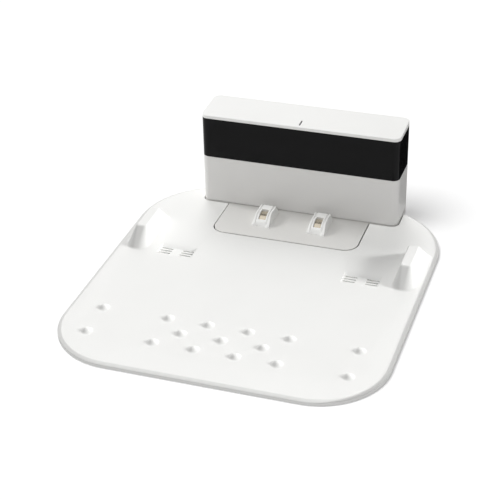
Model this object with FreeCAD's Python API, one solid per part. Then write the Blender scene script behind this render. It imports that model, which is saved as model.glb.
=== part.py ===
"""Charging dock for a small cleaning robot: a tower with a charging foot, in the notch of a drip tray.

Millimetres. X is to the right, Y to the back and Z up. The origin is on the floor, in the middle of the
object's outline. "Ahead" is a distance in front of the tower's front face, towards the robot.
"""
import FreeCAD
import Part
import math
import os

from FreeCAD import Vector

# Clearances
FIT = 0.3                     # between pieces that slip into each other
SEAM = 1.1                    # between the dock and the tray's notch
FLOOR_GAP = 0.8               # mouldings stand this far above the floor, on their pads

# Drip tray
TRAY_WIDTH = 340.0
TRAY_DEPTH = 374.0
TRAY_TOP = 5.7                # walking surface above the floor
TRAY_WALL = 2.2
TRAY_FRONT_RADIUS = 72.0
TRAY_BACK_RADIUS = 92.0
TRAY_EDGE_SLOPE = 1.2         # slope round the top edge
RIB_THICKNESS = 1.4
RIB_PITCH = 56.5
RIB_RISE = 0.6                # the ribs and the pads' bosses end this far above the skirt

# Raised bumps at the front of the tray
BUMP_DIAMETER = 13.0
BUMP_HEIGHT = 4.0
BUMP_PITCH = 42.4
BUMP_ROW_STEP = 21.75
BUMP_BACK_ROW = 242.0         # ahead
BUMP_TIP_DIAMETER = 4.6
BUMP_TIP_HEIGHT = 0.8         # height of the blunt tip above the cone
BUMP_TIP_FLAT = 2.0
SIDE_BUMP_INSET = 36.0        # from the tray's side edge
BUMP_CORE_DIAMETER = 6.0
BUMP_CORE_HEIGHT = 1.0

# Guide fins beside the robot
GUIDE_EDGE_GAP = 7.0          # from the tray's side edge to the fin
GUIDE_WIDTH = 27.0
GUIDE_LENGTH = 76.0
GUIDE_BACK = 50.0             # ahead
GUIDE_HEIGHT = 19.3
GUIDE_INNER_LEAN = 7.5
GUIDE_OUTER_LEAN = 10.0
GUIDE_FRONT_LEAN = 19.0
GUIDE_BACK_LEAN = 15.0
GUIDE_OUTER_NOSE = 13.0       # radius of the outer front corner at the fin's foot
GUIDE_INNER_NOSE = 7.0        # radius of the inner front corner at the fin's foot
GUIDE_BACK_ROUND = 3.0
GUIDE_TOP_ROUND = 2.5         # radius of all four corners at the fin's top
GUIDE_EDGE_SLOPE = 0.9        # slope round the fin's top
GUIDE_NOSE_STEPS = 6
GUIDE_CORNER_STEPS = 3
GUIDE_WALL = 2.2
GUIDE_CORE_ROUND = 0.4        # least corner radius of the fin's hollow

# Wheel patches with slits
PATCH_INNER = 83.0            # from the middle
PATCH_WIDTH = 40.0
PATCH_BACK = 106.0            # ahead
PATCH_LENGTH = 21.5
PATCH_DEPTH = 1.6             # at the foot of the ramp, from where the floor rises to the front
PATCH_RAMP = 3.2
SLIT_ROWS = 3
SLIT_LENGTH = 14.0
SLIT_WIDTH = 2.2
SLIT_DEPTH = 1.2
SLIT_PITCH = 5.5
SLIT_END_GAP = 1.0            # from the patch's side to the slits
SLIT_FIRST = 6.6              # from the patch's back to the first row
PATCH_BACKING = 2.0           # solid border round the patch, below the tray

# Tower and charging foot
TOWER_WIDTH = 227.6
TOWER_DEPTH = 51.8
TOWER_HEIGHT = 115.4
TOWER_RADIUS = 8.0
TOWER_OVERHANG = 11.1         # stands out behind the tray
CAP_HEIGHT = 5.8
WINDOW_HEIGHT = 47.3
FOOT_WIDTH = 164.0
FOOT_REACH = 64.0             # ahead
FOOT_RADIUS = 15.0
HIDDEN_RADIUS = 1.0           # corners of the foot inside the tower's footprint
BASE_FLOOR = 2.0
BASE_SKIRT = 1.8
PLATE_THICKNESS = 1.6
HOUSING_WALL = 2.4
HOUSING_EDGE = 0.5
HOUSING_FOOT_EDGE = 1.0       # slope round the housing's lower edge
POST_SIZE = 9.0
RIM_HEIGHT = 5.0
RIM_THICKNESS = 1.6
RIM_LENGTH = 44.0
RIM_CENTRE = 40.0             # from the middle to the middle of a rim stretch
WINDOW_WALL = 2.6
WINDOW_EDGE = 0.4
WINDOW_RETURN = 12.0          # the window's length on the back, past its round corner
FRAME_WALL = 1.6
FRAME_SEAT = 6.3              # depth to which the frame stands in the housing
CAP_WALL = 2.2
CAP_EDGE_ROUND = 3.2
CAP_SKIRT = 4.6               # how far the cap's rim reaches into the frame

# Hooks of the tray in the dock's sides
HOOK_LENGTH = 12.0
HOOK_REACH = 2.3
HOOK_HEIGHT = 1.2
HOOK_BOTTOM = 2.0

# Contact pods on the foot
POD_SPACING = 63.5
POD_WIDTH = 20.6
POD_SIDE_LEAN = 1.5
POD_FRONT = 42.5              # ahead
POD_NOSE_LEAN = 0.6
POD_NOSE_HEIGHT = 1.8
POD_CREST_FRONT = 29.5        # ahead
POD_CREST_BACK = 10.5         # ahead
POD_BACK = 5.0                # ahead
POD_HEIGHT = 10.4
POD_CREST_ROUND = 12.0
POD_EDGE_SLOPE = 0.6
POD_ROOF = 2.0
POD_CAVITY_WIDTH = 11.2
POD_END_WALL = 1.0            # from the lip's top or the pod's crest to the cavity
POD_LIP_SETBACK = 1.6         # the lip between the rails stands this far behind their toes
POD_LIP_LEAN = 2.4
POD_FRAME_WIDTH = 1.6         # border round the slot, between it and the grooves
POD_GROOVE_WIDTH = 1.4
POD_GROOVE_DEPTH = 1.3

# Sprung contacts
CONTACT_WIDTH = 7.6
CONTACT_THICKNESS = 0.9
CONTACT_SUNK = 1.6            # below the pod's side walls
CONTACT_TAB = 2.0             # tab at the front, below the roof
CONTACT_TAIL = 8.6            # tail at the back, below the roof
CONTACT_CREST = 7.5
CONTACT_CREST_ROUND = 12.0
CONTACT_SIDE_GAP = 0.35
SLOT_END_GAP = 0.5
SPRING_WIDTH = 5.0
SPRING_THICKNESS = 0.4
SPRING_BEND = 36.0            # ahead
SPRING_TAIL = 12.0            # ahead
STRIP_WIDTH = 5.4
STRIP_THICKNESS = 0.5
STRIP_REACH = 14.0            # behind the tower's front face

# Boards and what is on them
BOARD_THICKNESS = 1.6
POWER_BOARD_LIFT = 6.3
POWER_BOARD_LEFT_GAP = 21.8   # from the tower's left side
POWER_BOARD_RIGHT_GAP = 51.8  # from the tower's right side
POWER_BOARD_FRONT = 10.0      # behind the tower's front face
POWER_BOARD_BACK = 11.8       # before the tower's back face
BOARD_BOSS_DIAMETER = 6.0
BOARD_BOSS_INSET = 4.0
TRANSFORMER_INSET = 96.0      # from the board's left end
TRANSFORMER_WIDTH = 26.0
TRANSFORMER_DEPTH = 22.0
TRANSFORMER_HEIGHT = 21.0
CORE_THICKNESS = 5.0
CAPACITOR_INSET = 56.0        # from the board's left end
CAPACITOR_DIAMETER = 16.0
CAPACITOR_HEIGHT = 28.0
CAPACITOR_ROUND = 1.0
INLET_INSET = 22.0            # from the board's left end
INLET_WIDTH = 24.0
INLET_HEIGHT = 18.0
INLET_DEPTH = 22.0
SOCKET_WIDTH = 15.2
SOCKET_HEIGHT = 8.6
SOCKET_WAIST = 7.2
SOCKET_DEPTH = 13.0
PIN_SPACING = 8.6
PIN_DIAMETER = 2.4
PIN_SHORT = 3.0               # the pins end this far inside the socket's mouth
MAIN_BOARD_WIDTH = 156.0
MAIN_BOARD_RISE = 3.7         # above the window's lower edge
MAIN_BOARD_DROP = 9.6         # below the window's upper edge
EMITTER_GAP = 6.0             # between the frame's front wall and the board
EMITTER_SPACING = 50.0
EMITTER_DIAMETER = 5.0
EMITTER_NOSE = 1.2            # slope round the nose
EMITTER_HOLE = 6.2
EMITTER_NOSE_GAP = 0.8        # behind the window
HOOD_WIDTH = 124.0
HOOD_HEIGHT = 13.0
CHIP_SIZE = 12.0
CHIP_HEIGHT = 1.4
HEADER_INSET = 22.0           # from the power board's right end
HEADER_WIDTH = 12.0
HEADER_DEPTH = 4.0
HEADER_HEIGHT = 4.4
CABLE_WIDTH = 10.0
CABLE_THICKNESS = 0.8
LED_WIDTH = 3.2
LED_DEPTH = 1.6
LED_HEIGHT = 2.8
PIPE_WIDTH = 1.5
PIPE_LENGTH = 11.0
PIPE_FRONT = 4.4              # behind the tower's front face
PIPE_FLANGE = 1.5             # round the stem at its sides and back
PIPE_FLANGE_THICKNESS = 1.2
PIPE_FIT = 0.1

# Screws and pads
SCREW_DIAMETER = 2.8
SCREW_HEAD_DIAMETER = 5.0
SCREW_HEAD_HEIGHT = 1.1
SCREW_LENGTH = 11.0
SMALL_SCREW_DIAMETER = 2.2
SMALL_HEAD_DIAMETER = 4.2
SMALL_HEAD_HEIGHT = 0.9
BOARD_SCREW_LENGTH = 5.0
PLATE_SCREW_LENGTH = 3.9
PLATE_BOSS_DIAMETER = 6.0
PAD_DIAMETER = 14.0
PAD_BOSS_BORDER = 2.0
PAD_INSET = 42.0              # from the tray's sides and front
PAD_MIDDLE_INSET = 20.0       # from the tray's sides
PAD_MIDDLE_Y = -40.0
PAD_BACK_AHEAD = 20.0         # ahead
PAD_RECESS = 0.4
FOOT_PAD_INSET = 22.0         # from the foot's sides
FOOT_PAD_AHEAD = 52.0
BACK_PAD_INSET = 18.0         # from the tower's sides
BACK_PAD_GAP = 14.0           # from the tower's back
FOOT_SCREW_INSET = 10.0       # from the foot's sides
FOOT_SCREW_AHEAD = 24.0
BACK_SCREW_INSET = 51.8       # from the tower's sides
BACK_SCREW_GAP = 10.0         # from the tower's back

# Places that follow from the sizes
OVERALL_DEPTH = TRAY_DEPTH + TOWER_OVERHANG
TRAY_FRONT = -OVERALL_DEPTH / 2
TRAY_BACK = TRAY_FRONT + TRAY_DEPTH
TOWER_BACK = OVERALL_DEPTH / 2
TOWER_FRONT = TOWER_BACK - TOWER_DEPTH
TOWER_MIDDLE = (TOWER_FRONT + TOWER_BACK) / 2
TOWER_SIDE = TOWER_WIDTH / 2
GUIDE_OUTER = TRAY_WIDTH / 2 - GUIDE_EDGE_GAP
GUIDE_INNER = GUIDE_OUTER - GUIDE_WIDTH
WINDOW_TOP = TOWER_HEIGHT - CAP_HEIGHT
WINDOW_BOTTOM = WINDOW_TOP - WINDOW_HEIGHT
RIB_BOTTOM = FLOOR_GAP + RIB_RISE
PLATE_TOP = FLOOR_GAP + PLATE_THICKNESS
FLOOR_BOTTOM = TRAY_TOP - BASE_FLOOR
POST_TOP = WINDOW_BOTTOM - FRAME_SEAT
FRAME_OUTER = WINDOW_WALL + FIT
FRAME_INNER = FRAME_OUTER + FRAME_WALL
FRAME_TOP = TOWER_HEIGHT - CAP_WALL - FIT
POWER_BOARD_LEFT = -TOWER_SIDE + POWER_BOARD_LEFT_GAP
POWER_BOARD_RIGHT = TOWER_SIDE - POWER_BOARD_RIGHT_GAP
INLET_X = POWER_BOARD_LEFT + INLET_INSET
CAPACITOR_X = POWER_BOARD_LEFT + CAPACITOR_INSET
TRANSFORMER_X = POWER_BOARD_LEFT + TRANSFORMER_INSET
HEADER_X = POWER_BOARD_RIGHT - HEADER_INSET
POWER_BOARD_Z = TRAY_TOP + POWER_BOARD_LIFT
POWER_BOARD_TOP = POWER_BOARD_Z + BOARD_THICKNESS
MAIN_BOARD_Y = TOWER_FRONT + FRAME_INNER + EMITTER_GAP
MAIN_BOARD_BACK = MAIN_BOARD_Y + BOARD_THICKNESS
MAIN_BOARD_BOTTOM = WINDOW_BOTTOM + MAIN_BOARD_RISE
MAIN_BOARD_TOP = WINDOW_TOP - MAIN_BOARD_DROP
EMITTER_Z = (WINDOW_BOTTOM + WINDOW_TOP) / 2
HEADER_Y = MAIN_BOARD_BACK
INLET_Z = POWER_BOARD_TOP + INLET_HEIGHT / 2
STRIP_TOP = PLATE_TOP + STRIP_THICKNESS
SIDES = {"left": -1, "right": 1}
UP = Vector(0, 0, 1)
BACKWARD = Vector(0, 1, 0)
SMALL_SIDES = 8               # sides of a small round bar or hole
PAD_SIDES = 16                # sides of a pad, a can or a socket
BUMP_SIDES = 16
PAST = 5.0                    # how far a cutting tool runs past the face it cuts
TOUCH = 1e-4                  # two heights or places closer than this are the same


# Small helpers for the shapes

def box(x0, x1, y0, y1, z0, z1):
    return Part.makeBox(x1 - x0, y1 - y0, z1 - z0, Vector(x0, y0, z0))


def ring(seat, direction, diameter, sides):
    """Corners of a regular outline, on a circle."""
    turn = FreeCAD.Rotation(UP, direction)
    corners = []
    for step in range(sides):
        angle = 2 * math.pi * step / sides
        corners.append(seat + turn.multVec(Vector(math.cos(angle), math.sin(angle), 0)) * (diameter / 2))
    return corners


def flat_face(corners):
    return Part.Face(Part.makePolygon(corners + corners[:1]))


def bar(seat, direction, length, diameter, sides=SMALL_SIDES):
    """Round bar as a prism of few sides, for small things that repeat."""
    return flat_face(ring(seat, direction, diameter, sides)).extrude(direction * length)


def stacked(rings):
    """Solid of flat faces between rings of as many corners, one above the other."""
    faces = [flat_face(rings[0]), flat_face(rings[-1])]
    for lower, upper in zip(rings, rings[1:]):
        for step in range(len(lower)):
            faces.append(flat_face([lower[step - 1], lower[step], upper[step], upper[step - 1]]))
    return Part.Solid(Part.Shell(faces))


def rod(x, y, z0, z1, diameter, sides=SMALL_SIDES):
    """Upright bar."""
    return bar(Vector(x, y, z0), UP, z1 - z0, diameter, sides)


def ahead(distance):
    """Y of a place in front of the tower's front face."""
    return TOWER_FRONT - distance


def outline(x0, x1, y0, y1, front_radius, back_radius):
    """Closed wire of a rectangle with one corner radius at the front and one at the back."""
    corners = [
        (x1 - front_radius, y0 + front_radius, front_radius, -math.pi / 2),
        (x1 - back_radius, y1 - back_radius, back_radius, 0.0),
        (x0 + back_radius, y1 - back_radius, back_radius, math.pi / 2),
        (x0 + front_radius, y0 + front_radius, front_radius, math.pi),
    ]
    arcs = []
    for x, y, radius, start in corners:
        circle = Part.Circle(Vector(x, y, 0), UP, radius)
        arcs.append(Part.ArcOfCircle(circle, start, start + math.pi / 2).toShape())
    edges = []
    for arc, following in zip(arcs, arcs[1:] + arcs[:1]):
        edges.append(arc)
        edges.append(Part.LineSegment(arc.lastVertex().Point, following.firstVertex().Point).toShape())
    return Part.Wire(edges)


def prism(wire, z0, z1):
    face = Part.Face(wire)
    face.translate(Vector(0, 0, z0))
    return face.extrude(Vector(0, 0, z1 - z0))


def side_profile(points, x0, x1):
    """Solid with the given outline in Y and Z, from x0 to x1."""
    face = flat_face([Vector(x0, y, z) for y, z in points])
    return face.extrude(Vector(x1 - x0, 0, 0))


def mirrored(shape):
    return shape.mirror(Vector(0, 0, 0), Vector(1, 0, 0))


def flat_edges(shape, z):
    """Edges that lie at one height."""
    return [e for e in shape.Edges if abs(e.BoundBox.ZMin - z) < TOUCH and abs(e.BoundBox.ZMax - z) < TOUCH]


def one_solid(shape):
    return shape.removeSplitter().Solids[0]


def tray_outline(inset):
    half = TRAY_WIDTH / 2 - inset
    return outline(-half, half, TRAY_FRONT + inset, TRAY_BACK - inset,
                   TRAY_FRONT_RADIUS - inset, TRAY_BACK_RADIUS - inset)


def tower_outline(inset):
    half = TOWER_SIDE - inset
    radius = TOWER_RADIUS - inset
    return outline(-half, half, TOWER_FRONT + inset, TOWER_BACK - inset, radius, radius)


def foot_outline(inset):
    """The foot, run back into the tower's footprint."""
    half = FOOT_WIDTH / 2 - inset
    return outline(-half, half, ahead(FOOT_REACH) + inset, TOWER_MIDDLE, FOOT_RADIUS - inset, HIDDEN_RADIUS)


def dock_footprint(inset, z0, z1):
    return prism(tower_outline(inset), z0, z1).fuse(prism(foot_outline(inset), z0, z1)).removeSplitter()


def screw(x, y, z, direction, diameter, length, head_diameter, head_height):
    """Screw whose head rests on the point given, with the shank along the direction."""
    seat = Vector(x, y, z)
    shank = bar(seat, direction, length, diameter)
    head = bar(seat, direction * -1, head_height, head_diameter)
    return shank.fuse(head).removeSplitter()


# Drip tray

def bump_places():
    places = []
    for row in range(3):
        y = ahead(BUMP_BACK_ROW + row * BUMP_ROW_STEP)
        count = 4 - row % 2
        for column in range(count):
            places.append(((column - (count - 1) / 2) * BUMP_PITCH, y))
        if count == 4:
            side_x = TRAY_WIDTH / 2 - SIDE_BUMP_INSET
            places += [(-side_x, y), (side_x, y)]
    return places


def bump(x, y):
    """Low cone with a blunt tip."""
    top = TRAY_TOP + BUMP_HEIGHT
    levels = [(TRAY_TOP, BUMP_DIAMETER), (top - BUMP_TIP_HEIGHT, BUMP_TIP_DIAMETER), (top, BUMP_TIP_FLAT)]
    return stacked([ring(Vector(x, y, z), UP, diameter, BUMP_SIDES) for z, diameter in levels])


def guide_ring(z, inset):
    """Corners of the right fin's outline at a height, less the inset. The noses' radii shrink upwards."""
    rise = (z - TRAY_TOP) / GUIDE_HEIGHT
    inner = GUIDE_INNER + inset + GUIDE_INNER_LEAN * rise
    outer = GUIDE_OUTER - inset - GUIDE_OUTER_LEAN * rise
    front = ahead(GUIDE_BACK + GUIDE_LENGTH) + inset + GUIDE_FRONT_LEAN * rise
    back = ahead(GUIDE_BACK) - inset - GUIDE_BACK_LEAN * rise
    noses = [
        (outer, front, -1, 1, GUIDE_OUTER_NOSE, GUIDE_NOSE_STEPS),
        (outer, back, -1, -1, GUIDE_BACK_ROUND, GUIDE_CORNER_STEPS),
        (inner, back, 1, -1, GUIDE_BACK_ROUND, GUIDE_CORNER_STEPS),
        (inner, front, 1, 1, GUIDE_INNER_NOSE, GUIDE_NOSE_STEPS),
    ]
    corners = []
    for turn, (x, y, along_x, along_y, foot_radius, steps) in enumerate(noses):
        radius = max(foot_radius + (GUIDE_TOP_ROUND - foot_radius) * rise - inset, GUIDE_CORE_ROUND)
        for step in range(steps + 1):
            angle = (turn - 1 + step / steps) * math.pi / 2
            corners.append(Vector(x + radius * (along_x + math.cos(angle)),
                                  y + radius * (along_y + math.sin(angle)), z))
    return corners


def guide_fin():
    """Right fin: it narrows to its top, with round noses and a slope round the top."""
    top = TRAY_TOP + GUIDE_HEIGHT
    return stacked([guide_ring(TRAY_TOP, 0), guide_ring(top - GUIDE_EDGE_SLOPE, 0),
                    guide_ring(top, GUIDE_EDGE_SLOPE)])


def guide_core():
    """Hollow of the right fin, open to below."""
    top = TRAY_TOP + GUIDE_HEIGHT - GUIDE_WALL
    return stacked([guide_ring(RIB_BOTTOM, GUIDE_WALL), guide_ring(top, GUIDE_WALL)])


def wheel_patch():
    """Cutting tool of the right patch: a recess from its ramp at the back up to the front, and the slits."""
    back = ahead(PATCH_BACK)
    front = back - PATCH_LENGTH
    above = TRAY_TOP + PAST
    section = [(back, TRAY_TOP), (back - PATCH_RAMP, TRAY_TOP - PATCH_DEPTH), (front, TRAY_TOP),
               (front, above), (back, above)]
    recess = side_profile(section, PATCH_INNER, PATCH_INNER + PATCH_WIDTH)
    slits = []
    inner = PATCH_INNER + SLIT_END_GAP
    outer = PATCH_INNER + PATCH_WIDTH - SLIT_END_GAP
    for row in range(SLIT_ROWS):
        y = back - SLIT_FIRST - row * SLIT_PITCH
        floor = TRAY_TOP - PATCH_DEPTH * (y - front) / (PATCH_LENGTH - PATCH_RAMP)
        for x0, x1 in ((inner, inner + SLIT_LENGTH), (outer - SLIT_LENGTH, outer)):
            slits.append(box(x0, x1, y - SLIT_WIDTH / 2, y + SLIT_WIDTH / 2, floor - SLIT_DEPTH, TRAY_TOP))
    return recess.fuse(slits)


def tray_pad_places():
    side = TRAY_WIDTH / 2
    return {
        "front": (side - PAD_INSET, TRAY_FRONT + PAD_INSET),
        "middle": (side - PAD_MIDDLE_INSET, PAD_MIDDLE_Y),
        "back": ((TOWER_SIDE + side) / 2, ahead(PAD_BACK_AHEAD)),
    }


def tray_ribs():
    ribs = []
    side = TRAY_WIDTH / 2
    half = RIB_THICKNESS / 2
    along = int(side / RIB_PITCH)
    for step in range(-along, along + 1):
        x = step * RIB_PITCH
        ribs.append(box(x - half, x + half, TRAY_FRONT, TRAY_BACK, RIB_BOTTOM, TRAY_TOP))
    across = int(TRAY_DEPTH / RIB_PITCH)
    for step in range(1, across + 1):
        y = TRAY_FRONT + step * RIB_PITCH
        ribs.append(box(-side, side, y - half, y + half, RIB_BOTTOM, TRAY_TOP))
    return ribs


def drip_tray():
    slab = prism(tray_outline(0), FLOOR_GAP, TRAY_TOP)
    slab = slab.makeChamfer(TRAY_EDGE_SLOPE, flat_edges(slab, TRAY_TOP))

    fin = guide_fin()
    slab = slab.fuse([fin, mirrored(fin)] + [bump(x, y) for x, y in bump_places()])
    patch = wheel_patch()
    slab = slab.cut([patch, mirrored(patch)])

    # Hollow underside, less the ribs, the walls round the notch and the solid places
    solid_places = tray_ribs()
    solid_places.append(dock_footprint(-SEAM - TRAY_WALL, 0, TRAY_TOP))
    backing = box(PATCH_INNER - PATCH_BACKING, PATCH_INNER + PATCH_WIDTH + PATCH_BACKING,
                  ahead(PATCH_BACK + PATCH_LENGTH + PATCH_BACKING), ahead(PATCH_BACK - PATCH_BACKING),
                  RIB_BOTTOM, TRAY_TOP)
    solid_places += [backing, mirrored(backing)]
    for x, y in tray_pad_places().values():
        boss = rod(x, y, RIB_BOTTOM, TRAY_TOP, PAD_DIAMETER + 2 * PAD_BOSS_BORDER, PAD_SIDES)
        solid_places += [boss, mirrored(boss)]
    hollow = prism(tray_outline(TRAY_WALL), 0, TRAY_TOP - TRAY_WALL).cut(solid_places)
    cores = [rod(x, y, TRAY_TOP - TRAY_WALL - RIB_RISE, TRAY_TOP + BUMP_CORE_HEIGHT, BUMP_CORE_DIAMETER)
             for x, y in bump_places()]
    slab = slab.cut([hollow, guide_core(), mirrored(guide_core())] + cores)

    slab = slab.cut(dock_footprint(-SEAM, -PAST, TRAY_TOP + PAST))
    hook_wall = TOWER_SIDE + SEAM
    hook = box(hook_wall - HOOK_REACH, hook_wall + TRAY_WALL / 2, TOWER_MIDDLE - TOWER_OVERHANG - HOOK_LENGTH,
               TOWER_MIDDLE - TOWER_OVERHANG, HOOK_BOTTOM, HOOK_BOTTOM + HOOK_HEIGHT)
    return one_solid(slab.fuse([hook, mirrored(hook)]))


# Dock base with the contact pods

def pod_slope():
    return (POD_HEIGHT - POD_NOSE_HEIGHT) / (POD_FRONT - POD_NOSE_LEAN - POD_CREST_FRONT)


def pod_roof(distance):
    """Height of the pod's sloping back above the foot, at a distance ahead of the tower."""
    return min(POD_HEIGHT, POD_NOSE_HEIGHT + (POD_FRONT - POD_NOSE_LEAN - distance) * pod_slope())


def pod_cavity_ends():
    return POD_FRONT - POD_LIP_SETBACK - POD_LIP_LEAN - POD_END_WALL, POD_CREST_BACK + POD_END_WALL


def contact_reach():
    """Ahead-distances of the contact's front and back tabs, and of its visible front and back."""
    cavity_front, cavity_back = pod_cavity_ends()
    front_tab = cavity_front - FIT
    back_tab = cavity_back + FIT
    return front_tab, front_tab - CONTACT_TAB, back_tab + CONTACT_TAIL, back_tab


def pod(centre):
    """Ramp with a round crest and sides that lean in."""
    base = TRAY_TOP - BASE_FLOOR / 2
    body = side_profile(
        [(ahead(POD_FRONT), base), (ahead(POD_FRONT), TRAY_TOP),
         (ahead(POD_FRONT - POD_NOSE_LEAN), TRAY_TOP + POD_NOSE_HEIGHT),
         (ahead(POD_CREST_FRONT), TRAY_TOP + POD_HEIGHT), (ahead(POD_CREST_BACK), TRAY_TOP + POD_HEIGHT),
         (ahead(POD_BACK), TRAY_TOP), (ahead(POD_BACK), base)],
        centre - POD_WIDTH / 2, centre + POD_WIDTH / 2)
    crest_y = ahead(POD_CREST_FRONT)
    crest = [e for e in flat_edges(body, TRAY_TOP + POD_HEIGHT) if abs(e.CenterOfMass.y - crest_y) < TOUCH]
    body = body.makeFillet(POD_CREST_ROUND, crest)
    half = POD_WIDTH / 2
    section = [(-half, base), (-half, TRAY_TOP), (-half + POD_SIDE_LEAN, TRAY_TOP + POD_HEIGHT),
               (half - POD_SIDE_LEAN, TRAY_TOP + POD_HEIGHT), (half, TRAY_TOP), (half, base)]
    end = flat_face([Vector(centre + x, ahead(POD_FRONT), z) for x, z in section])
    sides = end.extrude(BACKWARD * (POD_FRONT - POD_BACK))
    body = body.common(sides).removeSplitter()
    upper = [e for e in body.Edges if e.BoundBox.ZMax > TRAY_TOP + POD_NOSE_HEIGHT / 2]
    return body.makeChamfer(POD_EDGE_SLOPE, upper)


def pod_front_cutters(centre):
    """What parts the two rails of a pod from its middle: a groove beside each, and the lip's setback."""
    before = ahead(POD_FRONT + PAST)
    above = TRAY_TOP + POD_HEIGHT + PAST
    lip_foot = POD_FRONT - POD_LIP_SETBACK
    lip_top = lip_foot - POD_LIP_LEAN
    middle = CONTACT_WIDTH / 2 + CONTACT_SIDE_GAP + POD_FRAME_WIDTH
    lip = side_profile(
        [(before, TRAY_TOP), (ahead(lip_foot), TRAY_TOP), (ahead(lip_top), TRAY_TOP + pod_roof(lip_top)),
         (ahead(lip_top), above), (before, above)],
        centre - middle, centre + middle)
    groove_foot = POD_FRONT - POD_NOSE_LEAN + (POD_NOSE_HEIGHT - POD_GROOVE_DEPTH) / pod_slope()
    groove_top = TRAY_TOP + POD_HEIGHT - POD_GROOVE_DEPTH
    section = [(before, TRAY_TOP), (ahead(groove_foot), TRAY_TOP), (ahead(POD_CREST_FRONT), groove_top),
               (ahead(POD_CREST_BACK), groove_top), (ahead(POD_CREST_BACK), above), (before, above)]
    grooves = [side_profile(section, x, x + POD_GROOVE_WIDTH)
               for x in (centre - middle - POD_GROOVE_WIDTH, centre + middle)]
    return [lip] + grooves


def pod_cutter(centre):
    """Cavity of a pod, open to below, and the slot that the contact stands in."""
    cavity_front, cavity_back = pod_cavity_ends()
    low = FLOOR_BOTTOM - PAST
    half = POD_CAVITY_WIDTH / 2
    cavity = side_profile(
        [(ahead(cavity_front), low), (ahead(cavity_front), TRAY_TOP + pod_roof(cavity_front) - POD_ROOF),
         (ahead(POD_CREST_FRONT), TRAY_TOP + POD_HEIGHT - POD_ROOF),
         (ahead(cavity_back), TRAY_TOP + POD_HEIGHT - POD_ROOF), (ahead(cavity_back), low)],
        centre - half, centre + half)
    _, front, back, _ = contact_reach()
    slot_half = CONTACT_WIDTH / 2 + CONTACT_SIDE_GAP
    slot = box(centre - slot_half, centre + slot_half,
               ahead(front + SLOT_END_GAP), ahead(back - SLOT_END_GAP),
               TRAY_TOP, TRAY_TOP + POD_HEIGHT + PAST)
    return cavity.fuse(slot)


def post_centres():
    x = TOWER_SIDE - HOUSING_WALL - POST_SIZE / 2
    front = TOWER_FRONT + HOUSING_WALL + POST_SIZE / 2
    back = TOWER_BACK - HOUSING_WALL - POST_SIZE / 2
    return [(-x, front), (x, front), (-x, back), (x, back)]


def power_board_bosses():
    xs = (POWER_BOARD_LEFT + BOARD_BOSS_INSET, POWER_BOARD_RIGHT - BOARD_BOSS_INSET)
    ys = (TOWER_FRONT + POWER_BOARD_FRONT + BOARD_BOSS_INSET,
          TOWER_BACK - POWER_BOARD_BACK - BOARD_BOSS_INSET)
    return [(x, y) for x in xs for y in ys]


def plate_screw_places():
    front = ahead(FOOT_SCREW_AHEAD)
    back = TOWER_BACK - BACK_SCREW_GAP
    front_x = FOOT_WIDTH / 2 - FOOT_SCREW_INSET
    back_x = TOWER_SIDE - BACK_SCREW_INSET
    return [(-front_x, front), (front_x, front), (-back_x, back), (back_x, back)]


def hook_pocket():
    """Pocket in the right side of the dock for the tray's hook."""
    y1 = TOWER_MIDDLE - TOWER_OVERHANG + FIT
    y0 = y1 - HOOK_LENGTH - 2 * FIT
    return box(TOWER_SIDE - BASE_SKIRT - FIT, TOWER_SIDE + PAST, y0, y1, HOOK_BOTTOM - FIT, FLOOR_BOTTOM)


def dock_base():
    body = dock_footprint(0, FLOOR_GAP, TRAY_TOP)
    body = body.cut(dock_footprint(BASE_SKIRT, FLOOR_GAP - PAST, FLOOR_BOTTOM))
    centres = [side * POD_SPACING / 2 for side in SIDES.values()]
    added = [pod(centre) for centre in centres]
    rim_front = TOWER_FRONT + HOUSING_WALL + FIT
    rim_back = TOWER_BACK - HOUSING_WALL - FIT - RIM_THICKNESS
    for y in (rim_front, rim_back):
        for side in SIDES.values():
            middle = side * RIM_CENTRE
            added.append(box(middle - RIM_LENGTH / 2, middle + RIM_LENGTH / 2, y, y + RIM_THICKNESS,
                             FLOOR_BOTTOM, TRAY_TOP + RIM_HEIGHT))
    for x, y in power_board_bosses():
        added.append(rod(x, y, FLOOR_BOTTOM, POWER_BOARD_Z, BOARD_BOSS_DIAMETER))
    for x, y in plate_screw_places():
        added.append(rod(x, y, PLATE_TOP, TRAY_TOP, PLATE_BOSS_DIAMETER))
    body = body.fuse(added)

    cuts = [pod_cutter(centre) for centre in centres]
    for centre in centres:
        cuts += pod_front_cutters(centre)
    for x, y in power_board_bosses():
        cuts.append(rod(x, y, POWER_BOARD_Z - BOARD_SCREW_LENGTH, POWER_BOARD_Z, SMALL_SCREW_DIAMETER))
    plate_screw_tip = FLOOR_GAP + SMALL_HEAD_HEIGHT + PLATE_SCREW_LENGTH
    for x, y in plate_screw_places():
        cuts.append(rod(x, y, PLATE_TOP, plate_screw_tip, SMALL_SCREW_DIAMETER))
    for x, y in post_centres():
        cuts.append(rod(x, y, FLOOR_BOTTOM, TRAY_TOP, SCREW_DIAMETER + FIT))
    for centre in centres:
        cuts.append(box(centre - STRIP_WIDTH / 2 - FIT, centre + STRIP_WIDTH / 2 + FIT,
                        TOWER_FRONT + STRIP_REACH - STRIP_THICKNESS - FIT, TOWER_FRONT + STRIP_REACH + FIT,
                        FLOOR_BOTTOM, TRAY_TOP))
    cuts += [hook_pocket(), mirrored(hook_pocket())]
    return one_solid(body.cut(cuts))


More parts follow.
